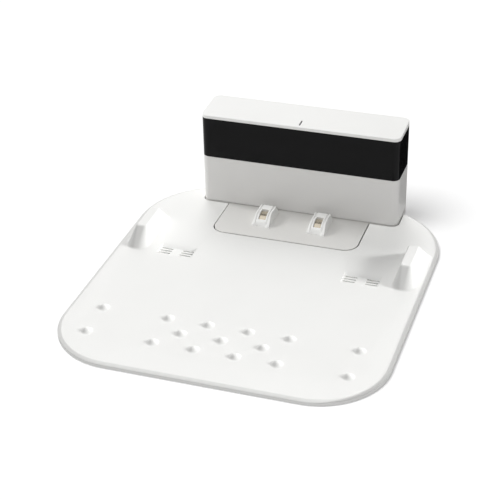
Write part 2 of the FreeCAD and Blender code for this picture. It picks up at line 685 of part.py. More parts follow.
def bottom_plate():
    plate = dock_footprint(BASE_SKIRT + FIT, FLOOR_GAP, PLATE_TOP)
    cuts = []
    for x, y in plate_screw_places():
        cuts.append(rod(x, y, FLOOR_GAP, FLOOR_GAP + SMALL_HEAD_HEIGHT, SMALL_HEAD_DIAMETER + 2 * PIPE_FIT))
        cuts.append(rod(x, y, FLOOR_GAP, PLATE_TOP, SMALL_SCREW_DIAMETER + 2 * PIPE_FIT))
    for x, y in dock_pad_places().values():
        for side in SIDES.values():
            cuts.append(rod(side * x, y, FLOOR_GAP, FLOOR_GAP + PAD_RECESS, PAD_DIAMETER + 2 * PIPE_FIT,
                            PAD_SIDES))
    return one_solid(plate.cut(cuts))


# Tower

def lower_housing():
    body = prism(tower_outline(0), TRAY_TOP, WINDOW_BOTTOM)
    body = body.makeChamfer(HOUSING_EDGE, flat_edges(body, WINDOW_BOTTOM))
    body = body.makeChamfer(HOUSING_FOOT_EDGE, flat_edges(body, TRAY_TOP))
    body = body.cut(prism(tower_outline(HOUSING_WALL), TRAY_TOP - PAST, WINDOW_BOTTOM + PAST))
    shell = prism(tower_outline(HOUSING_WALL / 2), TRAY_TOP, POST_TOP)
    posts = []
    for x, y in post_centres():
        half = POST_SIZE / 2 + HOUSING_WALL
        posts.append(box(x - half, x + half, y - half, y + half, TRAY_TOP, POST_TOP).common(shell))
    core = box(-TOWER_SIDE + HOUSING_WALL + POST_SIZE, TOWER_SIDE - HOUSING_WALL - POST_SIZE,
               TOWER_FRONT + HOUSING_WALL, TOWER_BACK - HOUSING_WALL, 0, TOWER_HEIGHT)
    cross = box(-TOWER_SIDE + HOUSING_WALL, TOWER_SIDE - HOUSING_WALL,
                TOWER_FRONT + HOUSING_WALL + POST_SIZE, TOWER_BACK - HOUSING_WALL - POST_SIZE,
                0, TOWER_HEIGHT)
    body = body.fuse([post.cut([core, cross]) for post in posts])
    cuts = [rod(x, y, TRAY_TOP, FLOOR_BOTTOM + SCREW_LENGTH, SCREW_DIAMETER) for x, y in post_centres()]
    half = INLET_WIDTH / 2 + FIT
    cuts.append(box(INLET_X - half, INLET_X + half, TOWER_BACK - HOUSING_WALL - PAST, TOWER_BACK + PAST,
                    POWER_BOARD_TOP - FIT, POWER_BOARD_TOP + INLET_HEIGHT + FIT))
    return one_solid(body.cut(cuts))


def back_opening(gap):
    """Space between the window's two ends on the back of the tower."""
    half = TOWER_SIDE - TOWER_RADIUS - WINDOW_RETURN - gap
    return box(-half, half, TOWER_BACK - TOWER_RADIUS, TOWER_BACK + PAST, 0, TOWER_HEIGHT)


def window_band():
    body = prism(tower_outline(0), WINDOW_BOTTOM, WINDOW_TOP)
    body = body.makeChamfer(WINDOW_EDGE, flat_edges(body, WINDOW_BOTTOM) + flat_edges(body, WINDOW_TOP))
    inside = prism(tower_outline(WINDOW_WALL), WINDOW_BOTTOM - PAST, WINDOW_TOP + PAST)
    return one_solid(body.cut([inside, back_opening(0)]))


def rear_panel():
    body = prism(tower_outline(0), WINDOW_BOTTOM, WINDOW_TOP)
    body = body.cut(prism(tower_outline(WINDOW_WALL), WINDOW_BOTTOM - PAST, WINDOW_TOP + PAST))
    return one_solid(body.common(back_opening(FIT)))


def main_board_bosses():
    x = MAIN_BOARD_WIDTH / 2 - BOARD_BOSS_INSET
    z = MAIN_BOARD_BOTTOM + BOARD_BOSS_INSET
    return [(-x, z), (x, z)]


def emitter_places():
    return {"left": -EMITTER_SPACING, "centre": 0.0, "right": EMITTER_SPACING}


def inner_frame():
    body = prism(tower_outline(FRAME_OUTER), POST_TOP, FRAME_TOP)
    body = body.cut(prism(tower_outline(FRAME_INNER), POST_TOP - PAST, FRAME_TOP + PAST))
    wall = TOWER_FRONT + FRAME_OUTER + FRAME_WALL / 2
    bosses = []
    pilots = []
    for x, z in main_board_bosses():
        seat = Vector(x, wall, z)
        bosses.append(bar(seat, BACKWARD, MAIN_BOARD_Y - wall, BOARD_BOSS_DIAMETER))
        hole = Vector(x, MAIN_BOARD_Y - BOARD_SCREW_LENGTH, z)
        pilots.append(bar(hole, BACKWARD, BOARD_SCREW_LENGTH, SMALL_SCREW_DIAMETER))
    holes = []
    for x in emitter_places().values():
        start = Vector(x, TOWER_FRONT + FRAME_OUTER - PAST, EMITTER_Z)
        holes.append(bar(start, BACKWARD, FRAME_WALL + 2 * PAST, EMITTER_HOLE))
    return one_solid(body.cut(holes).fuse(bosses).cut(pilots))


def pipe_head(gap, z0, z1):
    """Space of the indicator slit in the cap's wall, with a gap all round."""
    half = PIPE_WIDTH / 2 + gap
    front = TOWER_FRONT + PIPE_FRONT
    return box(-half, half, front - gap, front + PIPE_LENGTH + gap, z0, z1)


def pipe_stem(border, z0, z1):
    """Space of the light pipe below the cap's wall, behind the cap's rim."""
    half = PIPE_WIDTH / 2 + border
    front = TOWER_FRONT + FRAME_INNER + FRAME_WALL + 2 * FIT
    return box(-half, half, front, TOWER_FRONT + PIPE_FRONT + PIPE_LENGTH + border, z0, z1)


def top_cap():
    body = prism(tower_outline(0), WINDOW_TOP, TOWER_HEIGHT)
    body = body.makeFillet(CAP_EDGE_ROUND, flat_edges(body, TOWER_HEIGHT))
    ceiling = TOWER_HEIGHT - CAP_WALL
    body = body.cut(prism(tower_outline(HOUSING_WALL), WINDOW_TOP - PAST, ceiling))
    rim_bottom = WINDOW_TOP - CAP_SKIRT
    rim = prism(tower_outline(FRAME_INNER + FIT), rim_bottom, ceiling + CAP_WALL / 2)
    rim = rim.cut(prism(tower_outline(FRAME_INNER + FIT + FRAME_WALL), rim_bottom - PAST, ceiling + PAST))
    return one_solid(body.fuse(rim).cut(pipe_head(PIPE_FIT, ceiling - PIPE_FIT, TOWER_HEIGHT + PAST)))


def light_pipe():
    ceiling = TOWER_HEIGHT - CAP_WALL
    head = pipe_head(0, ceiling, TOWER_HEIGHT)
    stem = pipe_stem(0, MAIN_BOARD_TOP + FIT, ceiling)
    flange_top = ceiling - PIPE_FIT
    flange = pipe_stem(PIPE_FLANGE, flange_top - PIPE_FLANGE_THICKNESS, flange_top)
    return one_solid(head.fuse([stem, flange]))


# Boards and electrical pieces

def main_board():
    half = MAIN_BOARD_WIDTH / 2
    board = box(-half, half, MAIN_BOARD_Y, MAIN_BOARD_BACK, MAIN_BOARD_BOTTOM, MAIN_BOARD_TOP)
    header = box(HEADER_X - HEADER_WIDTH / 2, HEADER_X + HEADER_WIDTH / 2, MAIN_BOARD_BACK,
                 MAIN_BOARD_BACK + HEADER_DEPTH, MAIN_BOARD_BOTTOM, MAIN_BOARD_BOTTOM + HEADER_HEIGHT)
    chip = box(-HEADER_X, -HEADER_X + CHIP_SIZE, MAIN_BOARD_BACK, MAIN_BOARD_BACK + CHIP_HEIGHT,
               EMITTER_Z - CHIP_SIZE / 2, EMITTER_Z + CHIP_SIZE / 2)
    holes = []
    for x, z in main_board_bosses():
        start = Vector(x, MAIN_BOARD_Y - PAST, z)
        holes.append(bar(start, BACKWARD, 2 * PAST, SMALL_SCREW_DIAMETER + 2 * PIPE_FIT))
    return one_solid(board.fuse([header, chip]).cut(holes))


def status_led():
    return box(-LED_WIDTH / 2, LED_WIDTH / 2, MAIN_BOARD_BACK, MAIN_BOARD_BACK + LED_DEPTH,
               MAIN_BOARD_TOP - LED_HEIGHT, MAIN_BOARD_TOP)


def emitter_hood():
    front = TOWER_FRONT + FRAME_INNER
    block = box(-HOOD_WIDTH / 2, HOOD_WIDTH / 2, front, MAIN_BOARD_Y,
                EMITTER_Z - HOOD_HEIGHT / 2, EMITTER_Z + HOOD_HEIGHT / 2)
    bores = []
    for x in emitter_places().values():
        start = Vector(x, front - PAST, EMITTER_Z)
        bores.append(bar(start, BACKWARD, EMITTER_GAP + 2 * PAST, EMITTER_HOLE))
    return one_solid(block.cut(bores))


def ir_emitter(x):
    """Blunt-nosed emitter, from the board forward to just behind the window."""
    nose = TOWER_FRONT + WINDOW_WALL + EMITTER_NOSE_GAP
    body = bar(Vector(x, nose, EMITTER_Z), BACKWARD, MAIN_BOARD_Y - nose, EMITTER_DIAMETER)
    front_edges = [e for e in body.Edges if e.BoundBox.YMax < nose + TOUCH]
    return one_solid(body.makeChamfer(EMITTER_NOSE, front_edges))


def power_board():
    front = TOWER_FRONT + POWER_BOARD_FRONT
    back = TOWER_BACK - POWER_BOARD_BACK
    board = box(POWER_BOARD_LEFT, POWER_BOARD_RIGHT, front, back, POWER_BOARD_Z, POWER_BOARD_TOP)
    header = box(HEADER_X - HEADER_WIDTH / 2, HEADER_X + HEADER_WIDTH / 2, HEADER_Y, HEADER_Y + HEADER_DEPTH,
                 POWER_BOARD_TOP, POWER_BOARD_TOP + HEADER_HEIGHT)
    holes = [rod(x, y, POWER_BOARD_Z - PAST, POWER_BOARD_TOP + PAST, SMALL_SCREW_DIAMETER + 2 * PIPE_FIT)
             for x, y in power_board_bosses()]
    return one_solid(board.fuse(header).cut(holes))


def transformer():
    """Ferrite core round a wound bobbin."""
    x0 = TRANSFORMER_X - TRANSFORMER_WIDTH / 2
    x1 = TRANSFORMER_X + TRANSFORMER_WIDTH / 2
    y0 = TOWER_MIDDLE - TRANSFORMER_DEPTH / 2
    y1 = TOWER_MIDDLE + TRANSFORMER_DEPTH / 2
    z0 = POWER_BOARD_TOP
    z1 = POWER_BOARD_TOP + TRANSFORMER_HEIGHT
    edge = CORE_THICKNESS
    core = box(x0, x1, y0 + edge, y1 - edge, z0, z1)
    winding = box(x0 + edge, x1 - edge, y0, y1, z0 + edge, z1 - edge)
    winding = winding.makeFillet(CORE_THICKNESS / 2, [e for e in winding.Edges if e.BoundBox.XLength > edge])
    return one_solid(core.fuse(winding))


def bulk_capacitor():
    top = POWER_BOARD_TOP + CAPACITOR_HEIGHT
    can = rod(CAPACITOR_X, TOWER_MIDDLE, POWER_BOARD_TOP, top, CAPACITOR_DIAMETER, PAD_SIDES)
    return one_solid(can.makeChamfer(CAPACITOR_ROUND, flat_edges(can, top)))


def mains_inlet():
    """Two-pin inlet with a waisted socket, open to the back."""
    body = box(INLET_X - INLET_WIDTH / 2, INLET_X + INLET_WIDTH / 2, TOWER_BACK - INLET_DEPTH, TOWER_BACK,
               POWER_BOARD_TOP, POWER_BOARD_TOP + INLET_HEIGHT)
    floor = TOWER_BACK - SOCKET_DEPTH
    offset = SOCKET_WIDTH / 2 - SOCKET_HEIGHT / 2
    cuts = [box(INLET_X - offset, INLET_X + offset, floor, TOWER_BACK + PAST,
                INLET_Z - SOCKET_WAIST / 2, INLET_Z + SOCKET_WAIST / 2)]
    pins = []
    for side in SIDES.values():
        lobe = Vector(INLET_X + side * offset, floor, INLET_Z)
        cuts.append(bar(lobe, BACKWARD, SOCKET_DEPTH + PAST, SOCKET_HEIGHT, PAD_SIDES))
        pin = Vector(INLET_X + side * PIN_SPACING / 2, floor - BOARD_THICKNESS, INLET_Z)
        length = SOCKET_DEPTH + BOARD_THICKNESS - PIN_SHORT
        pins.append(bar(pin, BACKWARD, length, PIN_DIAMETER))
    return one_solid(body.cut(cuts).fuse(pins))


def link_cable():
    y = HEADER_Y + HEADER_DEPTH / 2
    return box(HEADER_X - CABLE_WIDTH / 2, HEADER_X + CABLE_WIDTH / 2, y - CABLE_THICKNESS / 2,
               y + CABLE_THICKNESS / 2, POWER_BOARD_TOP + HEADER_HEIGHT, MAIN_BOARD_BOTTOM)


# Sprung contacts

def contact(centre):
    """Bent strip that follows the pod's roof, with a tab at each end below the roof."""
    front_tab, front, back, back_tab = contact_reach()
    thick = CONTACT_THICKNESS
    tab_z = TRAY_TOP + pod_roof(front_tab) - POD_ROOF - FIT
    front_z = TRAY_TOP + pod_roof(front) - CONTACT_SUNK
    inner_z = TRAY_TOP + pod_roof(front - thick) - CONTACT_SUNK - thick
    crest_z = TRAY_TOP + POD_HEIGHT - CONTACT_SUNK
    crest_back = POD_CREST_FRONT - CONTACT_CREST
    back_z = TRAY_TOP + POD_HEIGHT - POD_ROOF - FIT
    points = [
        (front_tab, tab_z), (front, tab_z), (front, front_z),
        (POD_CREST_FRONT, crest_z), (crest_back, crest_z), (back, back_z),
        (back_tab, back_z), (back_tab, back_z - thick), (back + thick / 2, back_z - thick),
        (crest_back + thick / 2, crest_z - thick), (POD_CREST_FRONT, crest_z - thick),
        (front - thick, inner_z), (front - thick, tab_z - thick), (front_tab, tab_z - thick),
    ]
    strip = side_profile([(ahead(distance), z) for distance, z in points],
                         centre - CONTACT_WIDTH / 2, centre + CONTACT_WIDTH / 2)
    crest_y = ahead(POD_CREST_FRONT)
    crest = [e for e in flat_edges(strip, crest_z) if abs(e.CenterOfMass.y - crest_y) < TOUCH]
    return one_solid(strip.makeFillet(CONTACT_CREST_ROUND, crest))


def contact_spring(centre):
    """Leaf folded in a V, lying on its strip and pressing up below the contact's crest."""
    thick = SPRING_THICKNESS
    tip = POD_CREST_FRONT - CONTACT_CREST / 2
    tip_z = TRAY_TOP + POD_HEIGHT - CONTACT_SUNK - CONTACT_THICKNESS - FIT
    points = [
        (SPRING_TAIL, STRIP_TOP), (SPRING_BEND, STRIP_TOP), (SPRING_BEND, STRIP_TOP + thick), (tip, tip_z),
        (tip, tip_z - thick), (SPRING_BEND - 2 * thick, STRIP_TOP + thick), (SPRING_TAIL, STRIP_TOP + thick),
    ]
    return one_solid(side_profile([(ahead(distance), z) for distance, z in points],
                                  centre - SPRING_WIDTH / 2, centre + SPRING_WIDTH / 2))


def contact_strip(centre):
    """Flat strip on the bottom plate, bent up at its end to the power board."""
    start = ahead(SPRING_BEND)
    end = TOWER_FRONT + STRIP_REACH
    bend = end - STRIP_THICKNESS
    points = [(start, PLATE_TOP), (end, PLATE_TOP), (end, POWER_BOARD_Z),
              (bend, POWER_BOARD_Z), (bend, STRIP_TOP), (start, STRIP_TOP)]
    return one_solid(side_profile(points, centre - STRIP_WIDTH / 2, centre + STRIP_WIDTH / 2))


# Screws and pads

def housing_screws():
    return Part.makeCompound([
        screw(x, y, FLOOR_BOTTOM, UP, SCREW_DIAMETER, SCREW_LENGTH, SCREW_HEAD_DIAMETER, SCREW_HEAD_HEIGHT)
        for x, y in post_centres()])


def plate_screws():
    return Part.makeCompound([
        screw(x, y, FLOOR_GAP + SMALL_HEAD_HEIGHT, UP, SMALL_SCREW_DIAMETER, PLATE_SCREW_LENGTH,
              SMALL_HEAD_DIAMETER, SMALL_HEAD_HEIGHT)
        for x, y in plate_screw_places()])


def board_screws():
    size = (SMALL_SCREW_DIAMETER, BOARD_SCREW_LENGTH, SMALL_HEAD_DIAMETER, SMALL_HEAD_HEIGHT)
    screws = [screw(x, y, POWER_BOARD_TOP, UP * -1, *size) for x, y in power_board_bosses()]
    screws += [screw(x, MAIN_BOARD_BACK, z, BACKWARD * -1, *size) for x, z in main_board_bosses()]
    return Part.makeCompound(screws)


def dock_pad_places():
    return {
        "foot": (FOOT_WIDTH / 2 - FOOT_PAD_INSET, ahead(FOOT_PAD_AHEAD)),
        "tower": (TOWER_SIDE - BACK_PAD_INSET, TOWER_BACK - BACK_PAD_GAP),
    }


def pads():
    made = {}
    for side_name, side in SIDES.items():
        for place, (x, y) in tray_pad_places().items():
            made[f"tray_pad_{place}_{side_name}"] = rod(side * x, y, 0, RIB_BOTTOM, PAD_DIAMETER, PAD_SIDES)
        for place, (x, y) in dock_pad_places().items():
            top = FLOOR_GAP + PAD_RECESS
            made[f"dock_pad_{place}_{side_name}"] = rod(side * x, y, 0, top, PAD_DIAMETER, PAD_SIDES)
    return made


def build():
    nodes = {
        "drip_tray": drip_tray(),
        "dock_base": dock_base(),
        "bottom_plate": bottom_plate(),
        "lower_housing": lower_housing(),
        "window_band": window_band(),
        "rear_panel": rear_panel(),
        "inner_frame": inner_frame(),
        "top_cap": top_cap(),
        "light_pipe": light_pipe(),
        "main_board": main_board(),
        "status_led": status_led(),
        "emitter_hood": emitter_hood(),
        "power_board": power_board(),
        "transformer": transformer(),
        "bulk_capacitor": bulk_capacitor(),
        "mains_inlet": mains_inlet(),
        "link_cable": link_cable(),
        "housing_screws": housing_screws(),
        "plate_screws": plate_screws(),
        "board_screws": board_screws(),
    }
    for name, x in emitter_places().items():
        nodes[f"ir_emitter_{name}"] = ir_emitter(x)
    for name, side in SIDES.items():
        centre = side * POD_SPACING / 2
        nodes[f"contact_{name}"] = contact(centre)
        nodes[f"contact_spring_{name}"] = contact_spring(centre)
        nodes[f"contact_strip_{name}"] = contact_strip(centre)
    nodes.update(pads())
    return nodes


os.makedirs("parts", exist_ok=True)
for node_name, node_shape in build().items():
    node_shape.exportStep(f"parts/{node_name}.step")
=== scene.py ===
"""Looks of a robot vacuum charging dock: a tower with a charging foot, in the notch of a white drip tray.

Metres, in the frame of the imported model: X to the right, Y to the back, Z up. "Ahead" is a distance in
front of the tower's front face, towards the robot.
"""
import math

import bmesh
import bpy
from mathutils import Matrix, Vector


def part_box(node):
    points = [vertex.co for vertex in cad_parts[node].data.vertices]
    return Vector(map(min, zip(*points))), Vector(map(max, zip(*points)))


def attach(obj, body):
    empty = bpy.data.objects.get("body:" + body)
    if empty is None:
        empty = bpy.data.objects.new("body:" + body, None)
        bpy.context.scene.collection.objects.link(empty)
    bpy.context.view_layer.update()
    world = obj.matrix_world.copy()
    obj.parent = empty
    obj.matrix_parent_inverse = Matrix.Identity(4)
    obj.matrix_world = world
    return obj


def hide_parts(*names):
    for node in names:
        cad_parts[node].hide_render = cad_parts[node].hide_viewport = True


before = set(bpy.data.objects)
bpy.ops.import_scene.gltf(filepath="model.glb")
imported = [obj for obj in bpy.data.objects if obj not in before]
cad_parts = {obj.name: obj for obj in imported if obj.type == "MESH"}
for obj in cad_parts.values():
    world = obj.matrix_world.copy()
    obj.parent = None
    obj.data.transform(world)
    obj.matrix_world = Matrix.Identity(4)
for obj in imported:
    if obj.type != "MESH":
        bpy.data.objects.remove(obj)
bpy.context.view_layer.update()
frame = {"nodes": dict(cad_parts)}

bl_info = {
    "name": "Robot vacuum charging dock",
    "version": (1, 0, 0),
    "blender": (4, 5, 0),
    "location": "View3D > Sidebar > Dock",
    "description": "Mouldings, contacts and finishes of a charging dock with its drip tray",
    "category": "Object",
}

MM = 0.001
ARC_STEP = 5.0
LEAST_RADIUS = 0.3 * MM
HAIR = 0.01 * MM
MERGE_REACH = 0.001 * MM
CUT_REACH = 0.0001 * MM
SMOOTH_ANGLE = math.radians(32)


def corners(name):
    """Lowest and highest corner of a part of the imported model."""
    return [Vector(corner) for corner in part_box(name)]


TRAY_LOW, TRAY_HIGH = corners("drip_tray")
BASE_LOW = corners("dock_base")[0]
HOUSING_LOW, HOUSING_HIGH = corners("lower_housing")
WINDOW_LOW, WINDOW_HIGH = corners("window_band")
PANEL_LOW, PANEL_HIGH = corners("rear_panel")
CAP_HIGH = corners("top_cap")[1]
PIPE_LOW, PIPE_HIGH = corners("light_pipe")
INLET_LOW, INLET_HIGH = corners("mains_inlet")
TRAY_TOP = HOUSING_LOW.z
TOWER_FRONT = HOUSING_LOW.y
TOWER_BACK = HOUSING_HIGH.y
TOWER_SIDE = HOUSING_HIGH.x
FOOT_FRONT = BASE_LOW.y
SIDES = {"left": -1, "right": 1}
PADS = [f"tray_pad_{place}_{side}" for place in ("front", "middle", "back") for side in SIDES]
PADS += [f"dock_pad_{place}_{side}" for place in ("foot", "tower") for side in SIDES]


# Sizes and colours that a user would change

def linear(code):
    """Linear colour, with alpha, of an sRGB hex value."""
    channels = [int(code[place:place + 2], 16) / 255 for place in (1, 3, 5)]
    curve = [c / 12.92 if c <= 0.04045 else ((c + 0.055) / 1.055) ** 2.4 for c in channels]
    return (*curve, 1.0)


def length(name, description, millimetres):
    return bpy.props.FloatProperty(name=name, description=description, default=millimetres * MM, min=0.0,
                                   precision=4, unit="LENGTH")


def colour(name, description, code):
    return bpy.props.FloatVectorProperty(name=name, description=description, default=linear(code), size=4,
                                         min=0.0, max=1.0, subtype="COLOR")


def number(name, description, value):
    return bpy.props.FloatProperty(name=name, description=description, default=value)


class TraySizes(bpy.types.PropertyGroup):
    """Sizes of the drip tray's moulding"""
    front_radius: length("Front corners", "Radius of the tray's front corners", 72.0)
    back_radius: length("Back corners", "Radius of the tray's back corners", 92.0)
    seam: length("Seam", "Gap between the tray and the dock", 1.4)
    toe_seam: length("Front seam", "Gap between the tray and the front of the foot", 2.0)
    rim_round: length("Rim round", "Radius of the edge between the tray's wall and its border", 0.5)
    border_width: length("Border width", "Width of the sloping border along the tray's side", 3.8)
    border_drop: length("Border drop", "How far the border falls to the tray's side", 1.5)
    wall: length("Wall", "Thickness of the moulding", 2.2)
    rib_thickness: length("Rib thickness", "Thickness of the ribs below", 1.4)
    rib_pitch: length("Rib pitch", "Distance between the ribs below", 56.5)
    rib_rise: length("Rib rise", "Height of the ribs' lower edge above the skirt", 0.6)
    fin_height: length("Fin height", "Height of the guide fins above the tray", 19.3)
    fin_edge_gap: length("Fin place", "From the tray's side to the fin", 7.0)
    fin_width: length("Fin width", "Width of a fin at its foot", 27.0)
    fin_length: length("Fin length", "Length of a fin at its foot", 76.0)
    fin_back: length("Fin back", "Back of the fins, ahead of the tower", 50.0)
    fin_inner_lean: length("Fin inner lean", "How far a fin's inner side leans in", 5.5)
    fin_outer_lean: length("Fin outer lean", "How far a fin's outer side leans in", 10.0)
    fin_front_lean: length("Fin front lean", "How far a fin's front leans back", 19.0)
    fin_back_lean: length("Fin back lean", "How far a fin's back leans forward", 15.0)
    fin_inner_nose: length("Fin inner nose", "Radius of a fin's inner front corner at its foot", 11.0)
    fin_outer_nose: length("Fin outer nose", "Radius of a fin's outer front corner at its foot", 12.0)
    fin_taper: length("Fin taper", "How far a fin's outer side draws in at its front foot", 3.0)
    fin_tail: length("Fin tail", "Radius of a fin's back corners at its foot", 3.0)
    fin_crown: length("Fin crown", "Radius of a fin's corners at its top", 2.5)
    fin_fillet: length("Fin fillet", "Hollow round between a fin and the tray", 1.4)
    fin_top_round: length("Fin top round", "Round of a fin's top edge", 1.3)
    bump_radius: length("Bump radius", "Radius of a bump at its foot", 6.9)
    bump_height: length("Bump height", "Height of a bump", 3.2)
    bump_pitch: length("Bump pitch", "Distance between the bumps of a row", 42.4)
    bump_row_step: length("Bump rows", "Distance between the rows of bumps", 21.75)
    bump_back_row: length("Bump place", "First row of bumps, ahead of the tower", 242.0)
    side_bump_inset: length("Side bumps", "From the tray's side to the outer bumps", 36.0)
    patch_inner: length("Patch place", "From the middle to a wheel patch", 83.0)
    patch_width: length("Patch width", "Width of a wheel patch", 40.0)
    patch_back: length("Patch back", "Back of the wheel patches, ahead of the tower", 104.0)
    patch_length: length("Patch length", "Length of a wheel patch", 23.5)
    patch_depth: length("Patch depth", "Depth of a wheel patch at its back", 2.0)
    patch_ramp: length("Patch ramp", "Length of the ramp at a patch's back", 5.2)
    patch_corner: length("Patch corners", "Radius of a wheel patch's corners", 1.0)
    slit_first: length("Slit place", "From a patch's back to its first row of slits", 8.6)
    slit_gap: length("Slit gap", "From a patch's side to its slits", 1.0)
    slit_length: length("Slit length", "Length of the slits in a patch", 14.0)
    slit_width: length("Slit width", "Width of the slits in a patch", 2.8)
    slit_depth: length("Slit depth", "Depth of the slits in a patch", 1.8)
    slit_pitch: length("Slit pitch", "Distance between the rows of slits", 5.5)


class DockSizes(bpy.types.PropertyGroup):
    """Sizes of the tower, the foot and the contacts"""
    tower_radius: length("Tower corners", "Radius of the tower's upright corners", 8.0)
    foot_width: length("Foot width", "Width of the charging foot", 164.0)
    foot_radius: length("Foot corners", "Radius of the foot's front corners", 15.0)
    foot_round: length("Foot edge", "Round of the foot's top edge", 0.15)
    skirt: length("Skirt", "Wall of the foot below", 1.8)
    floor: length("Floor", "Thickness of the foot's floor", 2.0)
    housing_wall: length("Housing wall", "Wall of the lower housing", 2.4)
    housing_round: length("Housing edge", "Round of the housing's upper edge", 0.5)
    housing_gap: length("Housing gap", "Height of the shadow gap below the housing", 1.0)
    housing_recess: length("Housing recess", "Depth of the shadow gap below the housing", 1.4)
    window_wall: length("Window wall", "Wall of the dark window", 2.6)
    window_round: length("Window edge", "Round of the window's edges", 0.3)
    window_return: length("Window return", "Length of the window on the back, past its corner", 12.0)
    cap_round: length("Cap edge", "Round of the cap's top edge", 0.8)
    cap_fall: length("Cap fall", "How far the cap's top falls to the front", 2.2)
    cap_hollow: length("Cap hollow", "Depth of the hollow below the cap", 1.0)
    cap_slit: length("Cap slit", "Depth of the slit for the light pipe", 1.0)
    cap_wall: length("Cap wall", "Wall of the cap", 2.4)
    cap_foot: length("Cap foot", "Round of the cap's lower edge", 0.25)
    pod_spacing: length("Pod spacing", "Distance between the two contact pods", 63.5)
    pod_width: length("Pod width", "Width of a pod at its foot", 20.6)
    pod_lean: length("Pod lean", "How far a pod's sides lean in", 1.5)
    pod_front: length("Pod front", "Front of a pod, ahead of the tower", 42.5)
    pod_back: length("Pod back", "Back of a pod, ahead of the tower", 5.0)
    pod_nose: length("Pod nose", "Height of a pod's nose", 1.8)
    pod_nose_lean: length("Pod nose lean", "How far the nose leans back", 0.6)
    pod_crest_front: length("Pod crest front", "Front of a pod's crest, ahead of the tower", 29.5)
    pod_crest_back: length("Pod crest back", "Back of a pod's crest, ahead of the tower", 10.5)
    pod_height: length("Pod height", "Height of a pod's crest", 10.4)
    crest_round: length("Crest round", "Radius of the bend at the crest of a pod and of a contact", 12.0)
    rail_round: length("Rail edges", "Round of the edges of a pod's side rails", 0.7)
    frame_round: length("Frame edges", "Round of the edges of the frame round a slot", 0.5)
    frame_width: length("Frame width", "Width of the frame beside a slot", 1.6)
    groove_width: length("Groove width", "Width of the groove between a slot's frame and a rail", 1.4)
    groove_depth: length("Groove depth", "Depth of the groove between a slot's frame and a rail", 1.3)
    lip_setback: length("Lip setback", "From a pod's front to the lip below a slot", 1.6)
    lip_lean: length("Lip lean", "How far the lip below a slot leans back", 2.4)
    slot_width: length("Slot width", "Width of the slot that a contact stands in", 8.3)
    slot_front: length("Slot front", "Front of the slot, ahead of the tower", 35.7)
    slot_back: length("Slot back", "Back of the slot, ahead of the tower", 19.9)
    slot_round: length("Slot edges", "Round of the slot's upper edge", 0.35)
    contact_width: length("Contact width", "Width of a contact", 7.6)
    contact_gap: length("Contact gap", "From a contact's ends to the slot's ends", 0.5)
    contact_thickness: length("Contact thickness", "Thickness of a contact's strip", 0.9)
    contact_sunk: length("Contact depth", "How far a contact lies below the pod's walls", 1.6)
    contact_crest: length("Contact crest", "Length of a contact's flat crest", 7.5)
    contact_turn: length("Contact turn", "How far a contact's ends turn down", 2.0)


class DockColours(bpy.types.PropertyGroup):
    """Colours of the finishes"""
    tray: colour("Tray", "White of the drip tray", "#EEEEEC")
    foot: colour("Foot", "Warm white of the charging foot", "#E0DFDC")
    # The pods are the foot's own plastic: their whiter colour is painted light
    pods: colour("Pods", "White of the contact pods, brighter than the foot as painted light", "#F3F3F1")
    housing: colour("Housing", "White of the lower housing", "#E2E1DF")
    cap: colour("Cap", "White of the cap", "#EFEFED")
    window: colour("Window", "Black of the infrared window", "#131314")
    frame: colour("Frame", "Black of the inner frame", "#161617")
    board: colour("Board", "Green of the circuit boards", "#1F5B3A")
    contact: colour("Contact", "Plating of the contacts", "#D9CFBD")
    rubber: colour("Rubber", "Grey of the pads", "#3A3A3B")


class StageSettings(bpy.types.PropertyGroup):
    """Light of the stage"""
    ambient: number("Ambient", "Strength of the even light from all round", 0.36)
    dock_watts: number("Dock light", "Power of the large light above the dock, in watts", 10.4)
    fill_watts: number("Dock fill", "Power of the weak light in front of the dock, in watts", 4.4)
    side_watts: number("Side light", "Power of the light on the dock's left, in watts", 34.0)
    pod_watts: number("Pod light", "Power of the light on the contact pods alone, in watts", 1.5)
    floor_sun: number("Floor light", "Strength of the light on the floor alone", 2.0)
    top_sun: number("Top light", "Strength of the soft light on the tray that the tower shades", 1.15)
    back_sun: number("Back light", "Strength of the soft light across the tray from behind", 0.5)
    low_sun: number("Low light", "Strength of the low light across the tray from the right", 2.6)
    floor_glow: number("Floor glow", "Light that the floor adds where the camera sees it", 0.22)


# Small helpers for the shapes

def ahead(distance):
    """Y of a place at a distance in front of the tower."""
    return TOWER_FRONT - distance


def rounded(x0, x1, y0, y1, *radii):
    """Corner arcs of a rectangle, each as its centre, radius, first and last angle.

    One radius is for all corners; four are for front left, front right, back right and back left.
    """
    a, b, c, d = radii if len(radii) == 4 else radii * 4
    return [(x0 + a, y0 + a, a, 180, 270), (x1 - b, y0 + b, b, 270, 360),
            (x1 - c, y1 - c, c, 0, 90), (x0 + d, y1 - d, d, 90, 180)]


def other_side(arcs):
    """The same arcs on the other side of the middle, in the order that goes on round."""
    return [(-x, y, radius, 180 - last, 180 - first) for x, y, radius, first, last in reversed(arcs)]


def on_side(arcs, side):
    """Arcs of the right side, or of the left."""
    return arcs if side > 0 else other_side(arcs)


def path(bm, points, closed=False):
    """Line of edges through the points, open or closed to a loop."""
    verts = [bm.verts.new(point) for point in points]
    ends = verts[1:] + verts[:1] if closed else verts[1:]
    return [bm.edges.new(pair) for pair in zip(verts, ends)]


def outline(bm, arcs, z):
    """Closed loop of edges at one height, through the arcs and straight between them."""
    points = []
    for x, y, radius, first, last in arcs:
        steps = round(abs(last - first) / ARC_STEP) if radius else 0
        for step in range(steps + 1):
            angle = math.radians(first + (last - first) * step / max(steps, 1))
            points.append((x + radius * math.cos(angle), y + radius * math.sin(angle), z))
    return path(bm, points, closed=True)


def verts_of(items):
    """Corners of edges or of faces."""
    return {vert for item in items for vert in item.verts}


def edges_of(faces):
    """Edges of faces."""
    return {edge for face in faces for edge in face.edges}


